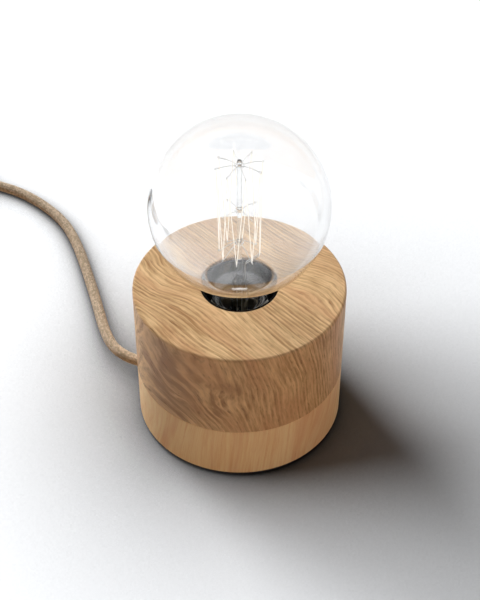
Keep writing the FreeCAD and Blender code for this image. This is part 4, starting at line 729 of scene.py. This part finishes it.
piece("bulb_rod", "bulb", stem_glass, [turned(rod_profile(ROD_R, STEM_TIP_Z, ROD_TOP_Z, ROD_EDGE), 32)],
      ["glass_rod"])


def bead_profile(z):
    """A glass button round the rod, its rim a half circle, open in the middle for the rod."""
    a = np.linspace(-math.pi / 2, math.pi / 2, 11)
    rim = BEAD_H / 2
    outside = np.stack([BEAD_R - rim + rim * np.cos(a), z + rim * np.sin(a)], -1)
    bore = ROD_R + SKIN
    return np.concatenate([[(bore, z - rim * BEAD_OPEN)], outside[1:-1], [(bore, z + rim * BEAD_OPEN)]])


piece("bulb_beads", "bulb", stem_glass,
      [turned(bead_profile(z), 40) for z in (CAGE_TOP_Z, MIDDLE_Z, FOOT_BEAD_Z)],
      ["glass_beads"])


def hook_way(degrees, bead_z, end_r, end_z):
    """A support wire from a bead outwards, bowed up between and curled once round the filament."""
    start, end = np.array([ROD_R + HOOK_ROOT, bead_z]), np.array([end_r - EYE_R, end_z])
    t = np.linspace(0, 1, 24)[:, None]
    run = start + (end - start) * t + np.array([0, HOOK_BOW]) * t * (1 - t) * 2
    a = np.linspace(math.pi, -0.6 * math.pi, 16)[1:]
    curl = np.stack([end_r + EYE_R * np.cos(a), end_z + EYE_R * np.sin(a)], -1)
    r, z = np.concatenate([run, curl]).T
    return polar(r, degrees, z)


def hooks(name, azimuths, bead_z, end_r, end_z, node):
    skins = [tube(hook_way(a, bead_z, end_r, end_z), HOOK_WIRE_R, 8, polar(1.0, a + 90, 0.0))
             for a in azimuths]
    return piece(name, "bulb", support_wire, skins, [node])


tops = CAGE_AZIMUTH + STRAND_STEP * np.arange(CAGE_N)
feet = CAGE_AZIMUTH - STRAND_STEP / 2 + STRAND_STEP * np.arange(CAGE_N + 1)
hooks("bulb_top_hooks", tops, CAGE_TOP_Z, CAGE_TOP_R, CAGE_TOP_Z, "top_hooks")
hooks("bulb_middle_hooks", MIDDLE_AZIMUTH + 360 / MIDDLE_N * np.arange(MIDDLE_N), MIDDLE_Z, MIDDLE_R,
      MIDDLE_Z, "middle_hooks")
hooks("bulb_foot_hooks", feet[1:-1], FOOT_BEAD_Z, CAGE_FOOT_R, CAGE_FOOT_Z + 0.0004, "foot_hooks")

feet[0] += LEAD_SPREAD
feet[-1] -= LEAD_SPREAD
cage = np.empty((2 * CAGE_N + 1, 3))
cage[0::2] = polar(CAGE_FOOT_R, feet, CAGE_FOOT_Z)
cage[1::2] = polar(CAGE_TOP_R, tops, CAGE_TOP_Z)
piece("bulb_filament", "bulb", filament_wire, [tube(soft_way(cage, 0.0003, 0.0009), FILAMENT_R, 8)],
      ["filament"])


def lead_way(side, foot):
    """A lead from inside the glass press, up beside the stem's tip and out to an end of the filament."""
    heights = np.array([LEAD_FOOT_Z, STEM_TIP_Z - LEAD_KNEE_DROP])
    upright = polar(LEAD_CIRCLE_R, LEADS_AZIMUTH + side * LEAD_FOOT_SPREAD, heights)
    return soft_way([*upright, foot], 0.0004, 0.0016)


piece("bulb_leads", "bulb", support_wire,
      [tube(lead_way(side, foot), LEAD_R, 8, polar(1.0, LEADS_AZIMUTH + 90, 0.0))
       for side, foot in ((1, cage[0]), (-1, cage[-1]))],
      ["filament_leads"])

# ---- floor, lamps and surroundings ------------------------------------------------------------------
FLOOR_HALF, FLOOR_Z = 6.0, -0.0003
FADE_FROM, FADE_TO = 0.25, 0.6
BOUNCE = colour(164, 138, 110)  # what the floor throws back at the lamp's sides
PAINTED_SHADE_REACH, PAINTED_SHADE_DEPTH, PAINTED_SHADE_SAMPLES = 0.36, 3.0, 8  # painted shade: ambient occlusion darkens the floor's colour close to what stands on it
WHITE, WARM_WHITE = colour(255, 255, 255), colour(255, 222, 200)
LAMPS_AIM = Vector((0.0, 0.0, 0.05))


def seen_directly(made):
    """1 for rays from the camera, or on from glossy or clear surfaces."""
    seen = made.add("LightPath", out=CAMERA_RAY)
    for ray in (GLOSSY_RAY, TRANSMISSION_RAY):
        seen = made.sum("MAXIMUM", seen, made.add("LightPath", out=ray))
    return seen


def floor_finish():
    """White floor that takes the lamps' shadows near it, with painted shade too: ambient occlusion darkens
    its colour close to what stands on it. It fades to plain white farther out, and throws a warm light of its
    own back at what stands on it."""
    made = Finish("floor", Roughness=0.9, Specular_IOR_Level=0.1)
    place = made.place()
    far = made.add("VectorMath", {0: place}, out=LENGTH, operation="LENGTH")
    shade = made.mixed(made.noise(place, 3.0), colour(243, 245, 247), colour(239, 241, 244))
    # painted shade: near-black mixed into the floor's colour where ambient occlusion finds it hemmed in
    open_sky = made.add("AmbientOcclusion", {0: WHITE, 1: PAINTED_SHADE_REACH}, out=OPEN_SHARE, samples=PAINTED_SHADE_SAMPLES)
    painted_nook_shade = made.sum("POWER", open_sky, PAINTED_SHADE_DEPTH)
    base = made.mixed(painted_nook_shade, colour(20, 20, 22), shade)
    made.finished(Base_Color=made.mixed(made.add("LightPath", out=DIFFUSE_RAY), base, BOUNCE))
    plain = made.add("Emission", {0: WHITE, 1: 1.0})
    share = made.sum("MULTIPLY", made.spread(far, FADE_FROM, FADE_TO), seen_directly(made))
    both = made.add("MixShader", {0: share, 1: made.shader.outputs[0], 2: plain})
    made.feed(made.nodes["Material Output"].inputs[0], both)
    return made.material


def make_floor():
    corners = [(x * FLOOR_HALF, y * FLOOR_HALF, FLOOR_Z) for x, y in ((-1, -1), (1, -1), (1, 1), (-1, 1))]
    mesh = bpy.data.meshes.new("floor")
    mesh.from_pydata(corners, [], [(0, 1, 2, 3)])
    floor = bpy.data.objects.new("floor", mesh)
    mesh.materials.append(floor_finish())
    bpy.context.scene.collection.objects.link(floor)
    return floor


def make_world(level):
    """White to the eye, and a dim even light on everything else."""
    world = bpy.data.worlds.new("surroundings")
    bpy.context.scene.world = world
    world.use_nodes = True
    tree = world.node_tree
    background = tree.nodes["Background"]
    background.inputs[0].default_value = WHITE
    path = tree.nodes.new("ShaderNodeLightPath")
    seen = path.outputs[CAMERA_RAY]
    for ray in (GLOSSY_RAY, TRANSMISSION_RAY):
        either = tree.nodes.new("ShaderNodeMath")
        either.operation = "MAXIMUM"
        tree.links.new(seen, either.inputs[0])
        tree.links.new(path.outputs[ray], either.inputs[1])
        seen = either.outputs[0]
    strength = tree.nodes.new("ShaderNodeMapRange")
    strength.inputs[3].default_value = level
    tree.links.new(seen, strength.inputs[0])
    tree.links.new(strength.outputs[0], background.inputs[1])


def soft_lamp(name, azimuth, elevation, far, wide, watts, tint, lit, shading=None):
    """A round area lamp in that direction from the object, which faces it and lights one collection. Where
    another is given, only that one casts its shadows."""
    data = bpy.data.lights.new(name, "AREA")
    data.shape, data.size, data.energy, data.color = "DISK", wide, watts, tint[:3]
    rise = math.radians(elevation)
    way = math.cos(rise) * polar(1.0, azimuth, math.tan(rise))
    place = LAMPS_AIM + far * Vector(way)
    lamp = bpy.data.objects.new(name, data)
    lamp.location, lamp.visible_glossy, lamp.visible_transmission = place, False, False
    lamp.rotation_euler = (LAMPS_AIM - place).to_track_quat("-Z", "Y").to_euler()
    bpy.context.scene.collection.objects.link(lamp)
    lamp.light_linking.receiver_collection = lit
    lamp.light_linking.blocker_collection = shading


def collected(name, members):
    """A collection of these objects, for the lamps that light only them."""
    group = bpy.data.collections.new(name)
    for member in members:
        group.objects.link(member)
    return group


meshes = [o for o in bpy.context.scene.objects if o.type == "MESH"]
pieces = collected("pieces", meshes)
shading = collected("shading", [o for o in meshes if not o.name.startswith("cord_to")])
ground = collected("ground", [make_floor()])
make_world(0.05)
soft_lamp("key", 125.0, 37.0, 3.0, 2.1, 122.0, WHITE, pieces)
soft_lamp("front", 318.0, 15.0, 3.0, 2.2, 24.0, WARM_WHITE, pieces)
soft_lamp("floor_back", 133.0, 17.0, 3.0, 1.6, 190.0, WHITE, ground, shading)
soft_lamp("floor_left", 170.0, 17.0, 3.0, 2.6, 220.0, WHITE, ground, shading)
bpy.context.scene.view_settings.view_transform = "Standard"
